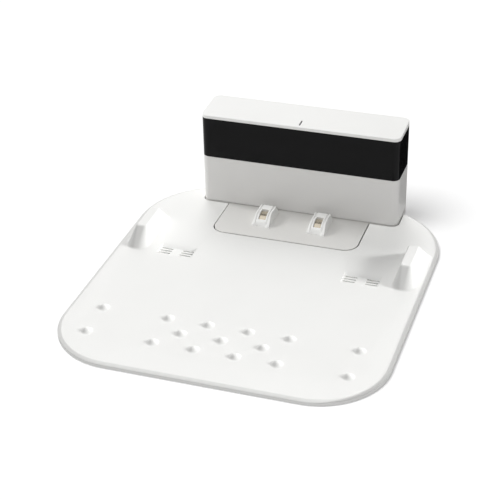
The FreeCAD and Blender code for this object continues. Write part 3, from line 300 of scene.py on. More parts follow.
def bridged(bm, loops):
    """Builds the walls between loops of edges that follow each other."""
    for lower, upper in zip(loops, loops[1:]):
        bmesh.ops.bridge_loops(bm, edges=lower + upper)


def drawn(bm, edges, move):
    """Extrudes edges by a vector and returns the moved edges."""
    made = bmesh.ops.extrude_edge_only(bm, edges=edges)["geom"]
    verts = {item for item in made if isinstance(item, bmesh.types.BMVert)}
    bmesh.ops.translate(bm, verts=list(verts), vec=move)
    return [item for item in made if isinstance(item, bmesh.types.BMEdge) and verts.issuperset(item.verts)]


def filled(bm, edges):
    """Closes a loop of edges with one face."""
    return bmesh.ops.edgeloop_fill(bm, edges=edges)["faces"][0]


def prism(bm, edges, move):
    """Solid between a loop and the same loop moved; returns the first and the last face."""
    first = filled(bm, edges)
    last = filled(bm, drawn(bm, edges, move))
    bmesh.ops.recalc_face_normals(bm, faces=bm.faces[:])
    return first, last


def eased(bm, edges, offset, segments):
    """Rounds edges off."""
    bmesh.ops.bevel(bm, geom=edges, offset=offset, offset_type="OFFSET", affect="EDGES", segments=segments,
                    profile=0.5, material=-1, clamp_overlap=True)


def moved_out(bm, faces, move):
    """Extrudes faces by a vector and returns the moved faces."""
    made = bmesh.ops.extrude_face_region(bm, geom=[*faces, *edges_of(faces)])["geom"]
    verts = [item for item in made if isinstance(item, bmesh.types.BMVert)]
    bmesh.ops.translate(bm, verts=verts, vec=move)
    return [item for item in made if isinstance(item, bmesh.types.BMFace)]


def hollowed(bm, face, wall, depth):
    """Sinks the middle of a face straight in, leaves a wall round it, and returns the sunk face."""
    inward = -face.normal.copy()
    bmesh.ops.inset_region(bm, faces=[face], thickness=wall, use_even_offset=True)
    return moved_out(bm, [face], inward * depth)[0]


def level_faces(bm, z, up):
    """Flat faces at one height that look up, or down."""
    turn = 1 if up else -1
    level = 0.999
    return [face for face in bm.faces
            if face.normal.z * turn > level and abs(face.calc_center_median().z - z) < HAIR]


def cut(bm, axis, place, faces=None):
    """Divides faces, or all of them, along the plane at a place on an axis: 0 is X, 1 is Y and 2 is Z."""
    faces = bm.faces[:] if faces is None else faces
    normal = Matrix.Identity(3)[axis]
    geom = [*faces, *edges_of(faces), *verts_of(faces)]
    bmesh.ops.bisect_plane(bm, geom=geom, plane_co=normal * place, plane_no=normal, dist=CUT_REACH)


def joined(bm, shape):
    """Adds a finished shape to a larger one."""
    mesh = bpy.data.meshes.new("joined")
    shape.to_mesh(mesh)
    shape.free()
    bm.from_mesh(mesh)
    bpy.data.meshes.remove(mesh)


def turned(bm, profile, centre, axis, steps):
    """Turns a profile, given as radius and rise and drawn along X, about an axis across X."""
    centre = Vector(centre)
    axis = Vector(axis)
    out = Vector((1, 0, 0))
    edges = path(bm, [centre + out * radius + axis * rise for radius, rise in profile])
    bmesh.ops.spin(bm, geom=[*verts_of(edges), *edges], cent=centre, axis=axis, angle=math.tau, steps=steps,
                   use_merge=True)
    reach = max(radius for radius, _ in profile) + MM
    near = [vert for vert in bm.verts if (vert.co - centre).cross(axis).length < reach]
    bmesh.ops.remove_doubles(bm, verts=near, dist=MERGE_REACH)


def finished(name, bm, body, slot, finish, *nodes):
    """Makes the piece of a mesh: smooth up to its sharp edges, on its body and in its finish. Its slot is not
    used.
    """
    bmesh.ops.recalc_face_normals(bm, faces=bm.faces[:])
    mesh = bpy.data.meshes.new(name)
    bm.to_mesh(mesh)
    bm.free()
    mesh.polygons.foreach_set("use_smooth", [True] * len(mesh.polygons))
    mesh.set_sharp_from_angle(angle=SMOOTH_ANGLE)
    mesh.materials.append(finish)
    piece = bpy.data.objects.new(name, mesh)
    bpy.context.scene.collection.objects.link(piece)
    normals = piece.modifiers.new("Even normals", "WEIGHTED_NORMAL")
    normals.keep_sharp = True
    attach(piece, body)
    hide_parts(*nodes)


# Finishes

def add(tree, kind, inputs=None, **settings):
    """Adds a node, sets its properties, and fills or links its inputs."""
    node = tree.nodes.new(kind)
    for name, value in settings.items():
        setattr(node, name, value)
    for name, value in (inputs or {}).items():
        if isinstance(value, bpy.types.NodeSocket):
            tree.links.new(value, node.inputs[name])
        else:
            node.inputs[name].default_value = value
    return node


def new_finish(name):
    """Empty material with its shader, its tree and the piece's own coordinates."""
    material = bpy.data.materials.new(name)
    material.use_nodes = True
    tree = material.node_tree
    shader = tree.nodes["Principled BSDF"]
    place = add(tree, "ShaderNodeTexCoord").outputs["Object"]
    return material, tree, shader, place


def surfaced(tree, shader, tint, shades, patches, gloss, relief=None):
    """Links a shader's gloss and relief, and its colour, in patches between two shares of its tint."""
    dark, light = ([min(1.0, c * share) for c in tint[:3]] + [1.0] for share in shades)
    shade = add(tree, "ShaderNodeMix", {0: patches, 6: dark, 7: light}, data_type="RGBA")
    tree.links.new(shade.outputs[2], shader.inputs["Base Color"])
    tree.links.new(gloss.outputs["Result"], shader.inputs["Roughness"])
    if relief:
        tree.links.new(relief.outputs["Normal"], shader.inputs["Normal"])


def moulded_plastic(name, tint, roughness, grain, depth):
    """Plastic from a spark-eroded mould: an even satin skin whose fine grain softens every highlight.

    The real grain of 0.1 mm is too fine to show, so it is drawn as coarse as the size given.
    """
    material, tree, shader, place = new_finish(name)
    shader.inputs["IOR"].default_value = 1.53
    pits = add(tree, "ShaderNodeTexNoise", {"Vector": place, "Scale": 1 / grain, "Detail": 3.0})
    flow = add(tree, "ShaderNodeTexNoise", {"Vector": place, "Scale": 1 / (70 * MM), "Detail": 2.0})
    gloss = add(tree, "ShaderNodeMapRange", {"Value": pits.outputs["Fac"], "From Min": 0.3, "From Max": 0.7,
                                             "To Min": roughness - 0.05, "To Max": roughness + 0.05})
    relief = add(tree, "ShaderNodeBump", {"Height": pits.outputs["Fac"], "Strength": 0.25, "Distance": depth})
    surfaced(tree, shader, tint, (0.975, 1.02), flow.outputs["Fac"], gloss, relief)
    return material


def polished_polycarbonate(name, tint):
    """Polished dark polycarbonate: nearly black, with sharp reflections that a faint haze breaks up."""
    material, tree, shader, place = new_finish(name)
    shader.inputs["IOR"].default_value = 1.58
    shader.inputs["Specular IOR Level"].default_value = 0.08
    haze = add(tree, "ShaderNodeTexNoise", {"Vector": place, "Scale": 1 / (26 * MM), "Detail": 4.0})
    gloss = add(tree, "ShaderNodeMapRange", {"Value": haze.outputs["Fac"], "From Min": 0.35, "From Max": 0.7,
                                             "To Min": 0.06, "To Max": 0.13})
    surfaced(tree, shader, tint, (0.85, 1.15), haze.outputs["Fac"], gloss)
    return material


def stamped_plating(name, tint, roughness):
    """Stamped and plated strip: warm silvery metal with fine drawing lines along the strip."""
    material, tree, shader, place = new_finish(name)
    shader.inputs["Metallic"].default_value = 1.0
    stretch = (1 / (0.25 * MM), 1 / (9 * MM), 1 / (9 * MM))
    lines = add(tree, "ShaderNodeMapping", {"Vector": place, "Scale": stretch})
    drawing = add(tree, "ShaderNodeTexNoise", {"Vector": lines.outputs["Vector"], "Scale": 1.0,
                                               "Detail": 2.0})
    wear = add(tree, "ShaderNodeTexNoise", {"Vector": place, "Scale": 1 / (5 * MM), "Detail": 4.0})
    gloss = add(tree, "ShaderNodeMapRange", {"Value": drawing.outputs["Fac"], "To Min": roughness - 0.06,
                                             "To Max": roughness + 0.06})
    relief = add(tree, "ShaderNodeBump", {"Height": drawing.outputs["Fac"], "Strength": 0.12,
                                          "Distance": 0.02 * MM})
    surfaced(tree, shader, tint, (0.82, 1.08), wear.outputs["Fac"], gloss, relief)
    return material


def moulded_rubber(name, tint):
    """Moulded rubber: dull dark grey with a dusty bloom and a fine matt skin."""
    material, tree, shader, place = new_finish(name)
    skin = add(tree, "ShaderNodeTexNoise", {"Vector": place, "Scale": 1 / (0.5 * MM), "Detail": 3.0})
    bloom = add(tree, "ShaderNodeTexNoise", {"Vector": place, "Scale": 1 / (6 * MM), "Detail": 3.0})
    gloss = add(tree, "ShaderNodeMapRange", {"Value": bloom.outputs["Fac"], "To Min": 0.72, "To Max": 0.9})
    relief = add(tree, "ShaderNodeBump", {"Height": skin.outputs["Fac"], "Strength": 0.3,
                                          "Distance": 0.05 * MM})
    surfaced(tree, shader, tint, (0.8, 1.3), bloom.outputs["Fac"], gloss, relief)
    return material


def pressed_laminate(name, tint):
    """Glass cloth pressed in resin under green lacquer: the weave is a faint check below a smooth gloss."""
    material, tree, shader, place = new_finish(name)
    shader.inputs["IOR"].default_value = 1.55
    threads = add(tree, "ShaderNodeTexChecker", {"Vector": place, "Scale": 1 / (0.8 * MM)})
    flow = add(tree, "ShaderNodeTexNoise", {"Vector": place, "Scale": 1 / (12 * MM), "Detail": 2.0})
    gloss = add(tree, "ShaderNodeMapRange", {"Value": flow.outputs["Fac"], "To Min": 0.24, "To Max": 0.36})
    relief = add(tree, "ShaderNodeBump", {"Height": threads.outputs["Fac"], "Strength": 0.15,
                                          "Distance": 0.02 * MM})
    surfaced(tree, shader, tint, (0.85, 1.15), flow.outputs["Fac"], gloss, relief)
    return material


def cast_epoxy(name, tint):
    """Epoxy cast in a smooth mould: see-through with a clear gloss and faint streaks from the pour."""
    material, tree, shader, place = new_finish(name)
    shader.inputs["IOR"].default_value = 1.52
    shader.inputs["Transmission Weight"].default_value = 0.85
    streaks = add(tree, "ShaderNodeTexNoise", {"Vector": place, "Scale": 1 / (1.5 * MM), "Detail": 2.0})
    gloss = add(tree, "ShaderNodeMapRange", {"Value": streaks.outputs["Fac"], "To Min": 0.04, "To Max": 0.1})
    surfaced(tree, shader, tint, (0.92, 1.0), streaks.outputs["Fac"], gloss)
    return material


def dressed(finish, *names):
    """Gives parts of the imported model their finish."""
    for name in names:
        frame["nodes"][name].material_slots[0].material = finish


# Drip tray

def tray_arcs(tray, dock, inset):
    """Outline of the tray, with the notch that the dock stands in; the outer part is drawn in by an inset."""
    side = TRAY_HIGH.x
    front = tray.front_radius
    back = tray.back_radius
    arm = TOWER_SIDE + tray.seam
    shoulder = TOWER_FRONT - tray.seam
    shoulder_radius = dock.tower_radius + tray.seam
    foot = dock.foot_width / 2 + tray.seam
    toe = FOOT_FRONT - tray.toe_seam
    toe_radius = dock.foot_radius + tray.seam
    back_middle = TRAY_HIGH.y - math.sqrt(back ** 2 - (arm - side + back) ** 2)
    reach = math.degrees(math.acos((arm - side + back) / (back - inset)))
    right = [(side - front, TRAY_LOW.y + front, front - inset, 270, 360),
             (side - back, back_middle, back - inset, 0, reach),
             (arm - shoulder_radius, shoulder + shoulder_radius, shoulder_radius, 0, -90),
             (foot, shoulder, 0, 0, 0),
             (foot - toe_radius, toe + toe_radius, toe_radius, 0, -90)]
    return right + other_side(right)


def rim_profile(tray):
    """Edge of the tray, as insets and heights: an upright wall, a soft edge and the sloping border."""
    edge = TRAY_TOP - tray.border_drop
    soft = tray.rim_round
    slope = tray.border_drop / tray.border_width
    return [(0, TRAY_LOW.z), (0, edge - soft), (0.1 * soft, edge - 0.45 * soft),
            (0.4 * soft, edge - 0.1 * soft), (soft, edge + slope * soft),
            (tray.border_width - soft, TRAY_TOP - slope * soft), (tray.border_width + soft, TRAY_TOP)]


def bump_places(tray):
    """Centres of the bumps: rows of four, three and four, and one at each end of the rows of four."""
    places = []
    for row in range(3):
        y = ahead(tray.bump_back_row + row * tray.bump_row_step)
        count = 4 - row % 2
        places += [((column - (count - 1) / 2) * tray.bump_pitch, y) for column in range(count)]
        if count == 4:
            outer = TRAY_HIGH.x - tray.side_bump_inset
            places += [(-outer, y), (outer, y)]
    return places


def bump(bm, x, y, tray):
    """Bell-shaped bump on the tray. Returns the edges of its foot."""
    wide = tray.bump_radius
    high = tray.bump_height
    shares = [(1, 0), (0.93, 0.02), (0.83, 0.08), (0.72, 0.2), (0.6, 0.4), (0.48, 0.62), (0.36, 0.81),
              (0.24, 0.93), (0.12, 0.985), (0, 1)]
    profile = [(wide * out, high * up) for out, up in shares]
    turned(bm, profile, (x, y, TRAY_TOP), (0, 0, 1), 32)
    return [edge for edge in bm.edges
            if edge.is_boundary and ((edge.verts[0].co + edge.verts[1].co) / 2
                                     - Vector((x, y, TRAY_TOP))).length < wide + HAIR]


def fin_arcs(tray, share, grow):
    """Outline of the right fin at a share of its height, grown outwards."""
    side = TRAY_HIGH.x - tray.fin_edge_gap
    back = ahead(tray.fin_back)
    feet = (tray.fin_inner_nose, tray.fin_outer_nose, tray.fin_tail, tray.fin_tail)
    radii = [max(foot + (tray.fin_crown - foot) * share + grow, LEAST_RADIUS) for foot in feet]
    arcs = rounded(side - tray.fin_width + tray.fin_inner_lean * share - grow,
                   side - tray.fin_outer_lean * share + grow,
                   back - tray.fin_length + tray.fin_front_lean * share - grow,
                   back - tray.fin_back_lean * share + grow, *radii)
    x, *rest = arcs[1]
    arcs[1] = (x - tray.fin_taper * (1 - share), *rest)
    return arcs


def fin(bm, side, tray):
    """Guide fin that grows out of the tray in a hollow round. Returns the edges of its foot."""
    fillet = tray.fin_fillet
    edge = tray.fin_top_round
    steps = 5
    angles = [math.pi / 2 * step / steps for step in range(steps + 1)]
    levels = [(fillet * (1 - math.cos(angle)), fillet * (1 - math.sin(angle))) for angle in angles]
    levels += [(tray.fin_height - edge * (1 - math.sin(angle)), -edge * (1 - math.cos(angle)))
               for angle in angles]
    loops = []
    for rise, grow in levels:
        arcs = fin_arcs(tray, rise / tray.fin_height, grow)
        loops.append(outline(bm, on_side(arcs, side), TRAY_TOP + rise))
    bridged(bm, loops)
    filled(bm, loops[-1])
    return loops[0]


def patch(bm, side, tray):
    """Wheel patch with slits: it falls to the back, up to a short ramp. Returns the edges of its mouth."""
    ease = 0.3 * MM
    corner = tray.patch_corner
    back = ahead(tray.patch_back)
    front = back - tray.patch_length
    inner = tray.patch_inner
    outer = inner + tray.patch_width
    ramp_foot = back - tray.patch_ramp
    half = tray.slit_width / 2

    # Just under half the width, so that the slits' ends keep a short straight edge
    end_radius = half * 0.98
    mouth = outline(bm, on_side(rounded(inner, outer, front, back, corner), side), TRAY_TOP)
    bed_arcs = rounded(inner + ease, outer - ease, front + ease, ramp_foot, corner)
    bed = outline(bm, on_side(bed_arcs, side), TRAY_TOP)
    bridged(bm, [mouth, bed])
    level = bed[:]
    deep = []
    for row in range(3):
        y = back - tray.slit_first - row * tray.slit_pitch
        for x in (inner + tray.slit_gap, outer - tray.slit_gap - tray.slit_length):
            arcs = rounded(x, x + tray.slit_length, y - half, y + half, end_radius)
            slit = outline(bm, on_side(arcs, side), TRAY_TOP)
            bottom = drawn(bm, slit, (0, 0, -tray.slit_depth))
            filled(bm, bottom)
            level += slit
            deep += bottom
    bmesh.ops.triangle_fill(bm, use_beauty=True, edges=level, normal=(0, 0, 1))
    fall = tray.patch_depth / (ramp_foot - front)
    for vert in verts_of(level + deep):
        vert.co.z -= fall * (vert.co.y - front)
    return mouth


def tray_underside(bm, lower, tray):
    """Hollow below the tray, with ribs, the fins' hollows, the patches' backing and the pads' bosses."""
    ceiling = TRAY_TOP - tray.wall
    rib_bottom = TRAY_LOW.z + tray.rib_rise
    inside = hollowed(bm, lower, tray.wall, ceiling - TRAY_LOW.z)

    # Hollow fins, and solid backing of the patches
    border = 2 * MM
    back = ahead(tray.patch_back)
    backing = rounded(tray.patch_inner - border, tray.patch_inner + tray.patch_width + border,
                      back - tray.patch_length - border, back + border, border)
    edges = inside.edges[:]
    bmesh.ops.delete(bm, geom=[inside], context="FACES_ONLY")
    for side in SIDES.values():
        mouth = outline(bm, on_side(fin_arcs(tray, 0, -tray.wall), side), ceiling)
        crown = outline(bm, on_side(fin_arcs(tray, 1, -tray.wall), side), ceiling + tray.fin_height)
        bridged(bm, [mouth, crown])
        filled(bm, crown)
        boss = outline(bm, on_side(backing, side), ceiling)
        filled(bm, drawn(bm, boss, (0, 0, rib_bottom - ceiling)))
        edges += mouth + boss
    bmesh.ops.triangle_fill(bm, use_beauty=True, edges=edges, normal=(0, 0, -1))
    bmesh.ops.recalc_face_normals(bm, faces=bm.faces[:])

    # Ribs
    half = tray.rib_thickness / 2
    columns = [step * tray.rib_pitch for step in range(-2, 3)]
    rows = [TRAY_LOW.y + step * tray.rib_pitch for step in range(1, 7)]
    for axis, places in enumerate((columns, rows)):
        for place in places:
            for side in (place - half, place + half):
                cut(bm, axis, side, level_faces(bm, ceiling, False))
    strips = []
    for face in level_faces(bm, ceiling, False):
        middle = face.calc_center_bounds()
        if min(abs(middle.x - x) for x in columns) < half or min(abs(middle.y - y) for y in rows) < half:
            strips.append(face)
    moved_out(bm, strips, (0, 0, rib_bottom - ceiling))

    # Bosses of the pads
    margin = 2 * MM
    overlap = 0.4 * MM
    for name in PADS:
        if name.startswith("tray"):
            low, high = corners(name)
            middle = (low + high) / 2
            place = Matrix.Translation((middle.x, middle.y, (rib_bottom + ceiling) / 2))
            radius = (high.x - low.x) / 2 + margin
            bmesh.ops.create_cone(bm, cap_ends=True, segments=40, radius1=radius, radius2=radius,
                                  depth=ceiling - rib_bottom + overlap, matrix=place)


def tray_mesh(tray, dock):
    """Drip tray in one moulding."""
    bm = bmesh.new()
    loops = [outline(bm, tray_arcs(tray, dock, inset), z) for inset, z in rim_profile(tray)]
    bridged(bm, loops)
    base = filled(bm, loops[0])
    top = filled(bm, loops[-1])
    bmesh.ops.recalc_face_normals(bm, faces=bm.faces[:])
    bmesh.ops.delete(bm, geom=[top], context="FACES_ONLY")
    tray_underside(bm, base, tray)

    # What stands on the floor and what is sunk in it
    edges = loops[-1]
    for x, y in bump_places(tray):
        edges += bump(bm, x, y, tray)
    for side in SIDES.values():
        edges += fin(bm, side, tray)
        edges += patch(bm, side, tray)
    bmesh.ops.triangle_fill(bm, use_beauty=True, edges=edges, normal=(0, 0, 1))
    return bm


# Charging foot and contacts

def pod_slope(dock, distance):
    """Height of the pods' slope above the foot, at a distance ahead of the tower."""
    nose = dock.pod_front - dock.pod_nose_lean
    share = (nose - distance) / (nose - dock.pod_crest_front)
    return dock.pod_nose + (dock.pod_height - dock.pod_nose) * share


def crest_reach(dock):
    """Length that the bend at the crest takes of the slope."""
    rise = pod_slope(dock, dock.pod_crest_front) - pod_slope(dock, dock.pod_crest_front + MM)
    return dock.crest_round * math.tan(math.atan(rise / MM) / 2)


def crease(bm, distance):
    """Highest edge that runs across at a distance ahead of the tower."""
    y = ahead(distance)
    across = [edge for edge in bm.edges
              if all(abs(vert.co.y - y) < HAIR for vert in edge.verts)
              and abs(edge.verts[0].co.x - edge.verts[1].co.x) > HAIR]
    return max(across, key=lambda edge: edge.verts[0].co.z)


def sharp_edges(bm, angle, z):
    """Edges that fold by more than an angle and reach above a height."""
    return [edge for edge in bm.edges if edge.calc_face_angle(0) > math.radians(angle)
            and max(vert.co.z for vert in edge.verts) > z]


def wedge(dock, x0, x1, toe, toe_lean, drop):
    """Closed wedge of a pod between two places across: slope, round crest and back, lowered by a drop."""
    bm = bmesh.new()
    sunk = TRAY_TOP - 0.5 * MM
    crest = TRAY_TOP + dock.pod_height - drop
    nose = toe - toe_lean
    section = [(toe, sunk), (toe, TRAY_TOP), (nose, TRAY_TOP + pod_slope(dock, nose) - drop),
               (dock.pod_crest_front, crest), (dock.pod_crest_back, crest), (dock.pod_back, TRAY_TOP),
               (dock.pod_back, sunk)]
    edges = path(bm, [(x0, ahead(distance), z) for distance, z in section], closed=True)
    prism(bm, edges, (x1 - x0, 0, 0))
    eased(bm, [crease(bm, dock.pod_crest_front)], crest_reach(dock), 10)
    return bm


def slotted(bm, dock):
    """Sinks the slot that a contact stands in."""
    side = dock.slot_width / 2
    front = ahead(dock.slot_front)
    back = ahead(dock.slot_back)
    floor = TRAY_TOP + MM
    least_rise = 0.2
    for axis, place in ((0, -side), (0, side), (1, front), (1, back)):
        cut(bm, axis, place)
    mouth = []
    for face in bm.faces:
        middle = face.calc_center_median()
        if abs(middle.x) < side and front < middle.y < back and face.normal.z > least_rise:
            mouth.append(face)
    bmesh.ops.delete(bm, geom=mouth, context="FACES")
    rim = [edge for edge in bm.edges if edge.is_boundary]
    bottom = drawn(bm, rim, (0, 0, 0))
    for vert in verts_of(bottom):
        vert.co.z = floor
    filled(bm, bottom)
    eased(bm, rim, dock.slot_round, 3)


def pod(bm, centre, dock):
    """Contact pod: a slotted middle between two grooves, and a rounded rail along each side."""
    shapes = []
    frame_side = dock.slot_width / 2 + dock.frame_width
    rail_side = frame_side + dock.groove_width
    overlap = 0.3 * MM
    fold = 25
    foot = TRAY_TOP + 0.1 * MM
    holder = wedge(dock, -frame_side, frame_side, dock.pod_front - dock.lip_setback, dock.lip_lean, 0)
    eased(holder, sharp_edges(holder, fold, foot), dock.frame_round, 3)
    slotted(holder, dock)
    shapes.append(holder)
    for side in SIDES.values():
        shapes.append(wedge(dock, side * (frame_side - overlap), side * (rail_side + overlap), dock.pod_front,
                            dock.pod_nose_lean, dock.groove_depth))
        rail = wedge(dock, side * rail_side, side * dock.pod_width / 2, dock.pod_front, dock.pod_nose_lean, 0)
        for vert in rail.verts:
            if abs(vert.co.x) > rail_side + overlap:
                vert.co.x -= side * dock.pod_lean * max(0.0, vert.co.z - TRAY_TOP) / dock.pod_height
        eased(rail, sharp_edges(rail, fold, foot), dock.rail_round, 4)
        shapes.append(rail)
    for shape in shapes:
        bmesh.ops.translate(shape, verts=shape.verts[:], vec=(centre, 0, 0))
        bmesh.ops.recalc_face_normals(shape, faces=shape.faces[:])
        joined(bm, shape)


def foot_mesh(dock):
    """Charging foot and the tower's floor, hollow below."""
    bm = bmesh.new()
    radius = dock.foot_radius
    side = dock.foot_width / 2
    corner = dock.tower_radius
    right = [(side - radius, FOOT_FRONT + radius, radius, 270, 360), (side, TOWER_FRONT, 0, 0, 0),
             (TOWER_SIDE - corner, TOWER_FRONT + corner, corner, 270, 360),
             (TOWER_SIDE - corner, TOWER_BACK - corner, corner, 0, 90)]
    edges = outline(bm, right + other_side(right), BASE_LOW.z)
    lower, upper = prism(bm, edges, (0, 0, TRAY_TOP - BASE_LOW.z))
    rim = [edge for edge in upper.edges if all(vert.co.y < TOWER_FRONT + MM for vert in edge.verts)
           and all(abs(vert.co.x) < side + MM for vert in edge.verts)]
    hollowed(bm, lower, dock.skirt, TRAY_TOP - dock.floor - BASE_LOW.z)
    eased(bm, rim, dock.foot_round, 3)
    return bm


def pods_mesh(dock):
    """Both contact pods."""
    bm = bmesh.new()
    for side in SIDES.values():
        pod(bm, side * dock.pod_spacing / 2, dock)
    return bm


def contact_mesh(dock, centre):
    """Strip bent over the crest, with both ends turned down and soft edges."""
    bm = bmesh.new()
    half = dock.contact_width / 2
    front_reach = 0.8 * MM
    back_reach = 0.6 * MM
    edge_round = 0.2 * MM
    front = dock.slot_front - dock.contact_gap
    back = dock.slot_back + dock.contact_gap
    crest_front = dock.pod_crest_front
    crest_back = crest_front - dock.contact_crest
    crest = TRAY_TOP + dock.pod_height - dock.contact_sunk
    low = TRAY_TOP + pod_slope(dock, front) - dock.contact_sunk
    points = [(front, low - dock.contact_turn), (front, low), (crest_front, crest), (crest_back, crest),
              (back, crest - dock.contact_turn)]
    drawn(bm, path(bm, [(centre - half, ahead(distance), z) for distance, z in points]), (2 * half, 0, 0))
    for distance, reach, segments in ((front, front_reach, 4), (crest_front, crest_reach(dock), 14),
                                      (crest_back, back_reach, 4)):
        eased(bm, [crease(bm, distance)], reach, segments)
    bmesh.ops.recalc_face_normals(bm, faces=bm.faces[:])
    if max(bm.faces, key=lambda face: face.calc_area()).normal.z < 0:
        bmesh.ops.reverse_faces(bm, faces=bm.faces[:])
    bmesh.ops.solidify(bm, geom=bm.faces[:], thickness=dock.contact_thickness)
    bmesh.ops.recalc_face_normals(bm, faces=bm.faces[:])
    eased(bm, sharp_edges(bm, 60, TRAY_TOP), edge_round, 2)
    return bm


# Tower

# The pipe's flange, at its sides and back, is wider than the stem that shows in the cap
PIPE_FLANGE = 1.5 * MM
PIPE_END = 0.5 * MM
PIPE_SLIT = (PIPE_LOW.x + PIPE_FLANGE, PIPE_HIGH.x - PIPE_FLANGE, PIPE_LOW.y, PIPE_HIGH.y - PIPE_FLANGE)


def tower_arcs(dock, inset):
    """Outline of the tower, drawn in by an inset."""
    radius = dock.tower_radius - inset
    return rounded(-TOWER_SIDE + inset, TOWER_SIDE - inset, TOWER_FRONT + inset, TOWER_BACK - inset, radius)


def wall_tube(dock, inset, z0, z1, wall, edge_round):
    """Upright tube with the tower's outline and soft outer edges."""
    bm = bmesh.new()
    lower, upper = prism(bm, outline(bm, tower_arcs(dock, inset), z0), (0, 0, z1 - z0))
    eased(bm, upper.edges[:] + lower.edges[:], edge_round, 3)
    edges = []
    for up, z in ((True, z1), (False, z0)):
        end = level_faces(bm, z, up)[0]
        bmesh.ops.inset_region(bm, faces=[end], thickness=wall - edge_round, use_even_offset=True)
        edges += end.edges[:]
        bmesh.ops.delete(bm, geom=[end], context="FACES_ONLY")
    bmesh.ops.bridge_loops(bm, edges=edges)
    return bm


def opened(bm, x0, x1, z0, z1, y0):
    """Cuts a rectangular opening through the back wall."""
    for axis, place in ((0, x0), (0, x1), (2, z0), (2, z1)):
        cut(bm, axis, place)
    gone = []
    for face in bm.faces:
        middle = face.calc_center_median()
        if x0 < middle.x < x1 and z0 < middle.z < z1 and middle.y > y0:
            gone.append(face)
    bmesh.ops.delete(bm, geom=gone, context="FACES")
    edges = [edge for edge in bm.edges if edge.is_boundary]
    bmesh.ops.bridge_loops(bm, edges=edges)


def housing_mesh(dock):
    """Lower wall of the tower on a plinth that is set back, with the opening of the inlet."""
    foot = TRAY_TOP + dock.housing_gap
    bm = wall_tube(dock, 0, foot, WINDOW_LOW.z, dock.housing_wall, dock.housing_round)
    gap = 0.3 * MM
    opened(bm, INLET_LOW.x - gap, INLET_HIGH.x + gap, INLET_LOW.z - gap, INLET_HIGH.z + gap,
           TOWER_BACK - 2 * dock.housing_wall)
    plinth_round = 0.1 * MM
    joined(bm, wall_tube(dock, dock.housing_recess, TRAY_TOP, foot + dock.housing_gap, dock.housing_wall,
                         plinth_round))
    return bm


def window_mesh(dock):
    """Window round the front and the sides, which turns in a little on the back."""
    bm = wall_tube(dock, 0, WINDOW_LOW.z, WINDOW_HIGH.z, dock.window_wall, dock.window_round)
    reach = TOWER_SIDE - dock.tower_radius - dock.window_return
    for x in (-reach, reach):
        cut(bm, 0, x)
    gone = [face for face in bm.faces if abs(face.calc_center_median().x) < reach
            and face.calc_center_median().y > TOWER_BACK - 2 * dock.window_wall]
    bmesh.ops.delete(bm, geom=gone, context="FACES")
    bmesh.ops.holes_fill(bm, edges=[edge for edge in bm.edges if edge.is_boundary], sides=0)
    return bm


def panel_mesh():
    """Panel between the window's ends, with soft edges."""
    bm = bmesh.new()
    edge_round = 0.3 * MM
    size = PANEL_HIGH - PANEL_LOW
    place = Matrix.Translation((PANEL_LOW + PANEL_HIGH) / 2) @ Matrix.Diagonal((*size, 1.0))
    bmesh.ops.create_cube(bm, size=1.0, matrix=place)
    eased(bm, bm.edges[:], edge_round, 2)
    return bm


def cap_drop(dock, y):
    """How far the cap's sloping top lies below its back edge."""
    return dock.cap_fall * (TOWER_BACK - y) / (TOWER_BACK - TOWER_FRONT)


def cap_mesh(dock):
    """Cap that falls to the front, with soft edges and a slit for the light pipe."""
    bm = bmesh.new()
    edges = outline(bm, tower_arcs(dock, 0), WINDOW_HIGH.z)
    upper = prism(bm, edges, (0, 0, CAP_HIGH.z - WINDOW_HIGH.z))[1]
    for vert in upper.verts:
        vert.co.z -= cap_drop(dock, vert.co.y)
    bm.normal_update()
    eased(bm, upper.edges[:], dock.cap_round, 5)
    eased(bm, level_faces(bm, WINDOW_HIGH.z, False)[0].edges[:], dock.cap_foot, 2)
    hollowed(bm, level_faces(bm, WINDOW_HIGH.z, False)[0], dock.cap_wall - dock.cap_foot, dock.cap_hollow)
    bm.normal_update()
    top = max(bm.faces, key=lambda face: face.normal.z * face.calc_area())
    edges = top.edges[:]
    bmesh.ops.delete(bm, geom=[top], context="FACES_ONLY")
    gap = 0.1 * MM
    x0, x1, y0, y1 = PIPE_SLIT
    slit = outline(bm, rounded(x0 - gap, x1 + gap, y0 - gap, y1 + gap, PIPE_END), CAP_HIGH.z)
    for vert in verts_of(slit):
        vert.co.z -= cap_drop(dock, vert.co.y)
    bmesh.ops.triangle_fill(bm, use_beauty=True, edges=edges + slit, normal=(0, 0, 1))
    filled(bm, drawn(bm, slit, (0, 0, -dock.cap_slit)))
    return bm


def pipe_mesh(dock):
    """Light pipe: a thin blade with a round top edge, just below the cap's surface."""
    bm = bmesh.new()
    sunk = 0.3 * MM
    edge_round = 0.2 * MM
    top = CAP_HIGH.z - cap_drop(dock, PIPE_LOW.y) - sunk
    edges = outline(bm, rounded(*PIPE_SLIT, PIPE_END), PIPE_LOW.z)
    upper = prism(bm, edges, (0, 0, top - PIPE_LOW.z))[1]
    eased(bm, upper.edges[:], edge_round, 2)
    return bm


# Inlet and pads

INLET_MIDDLE = (INLET_LOW + INLET_HIGH) / 2
SOCKET_DEPTH = 13 * MM
PIN_OFFSET = 4.3 * MM


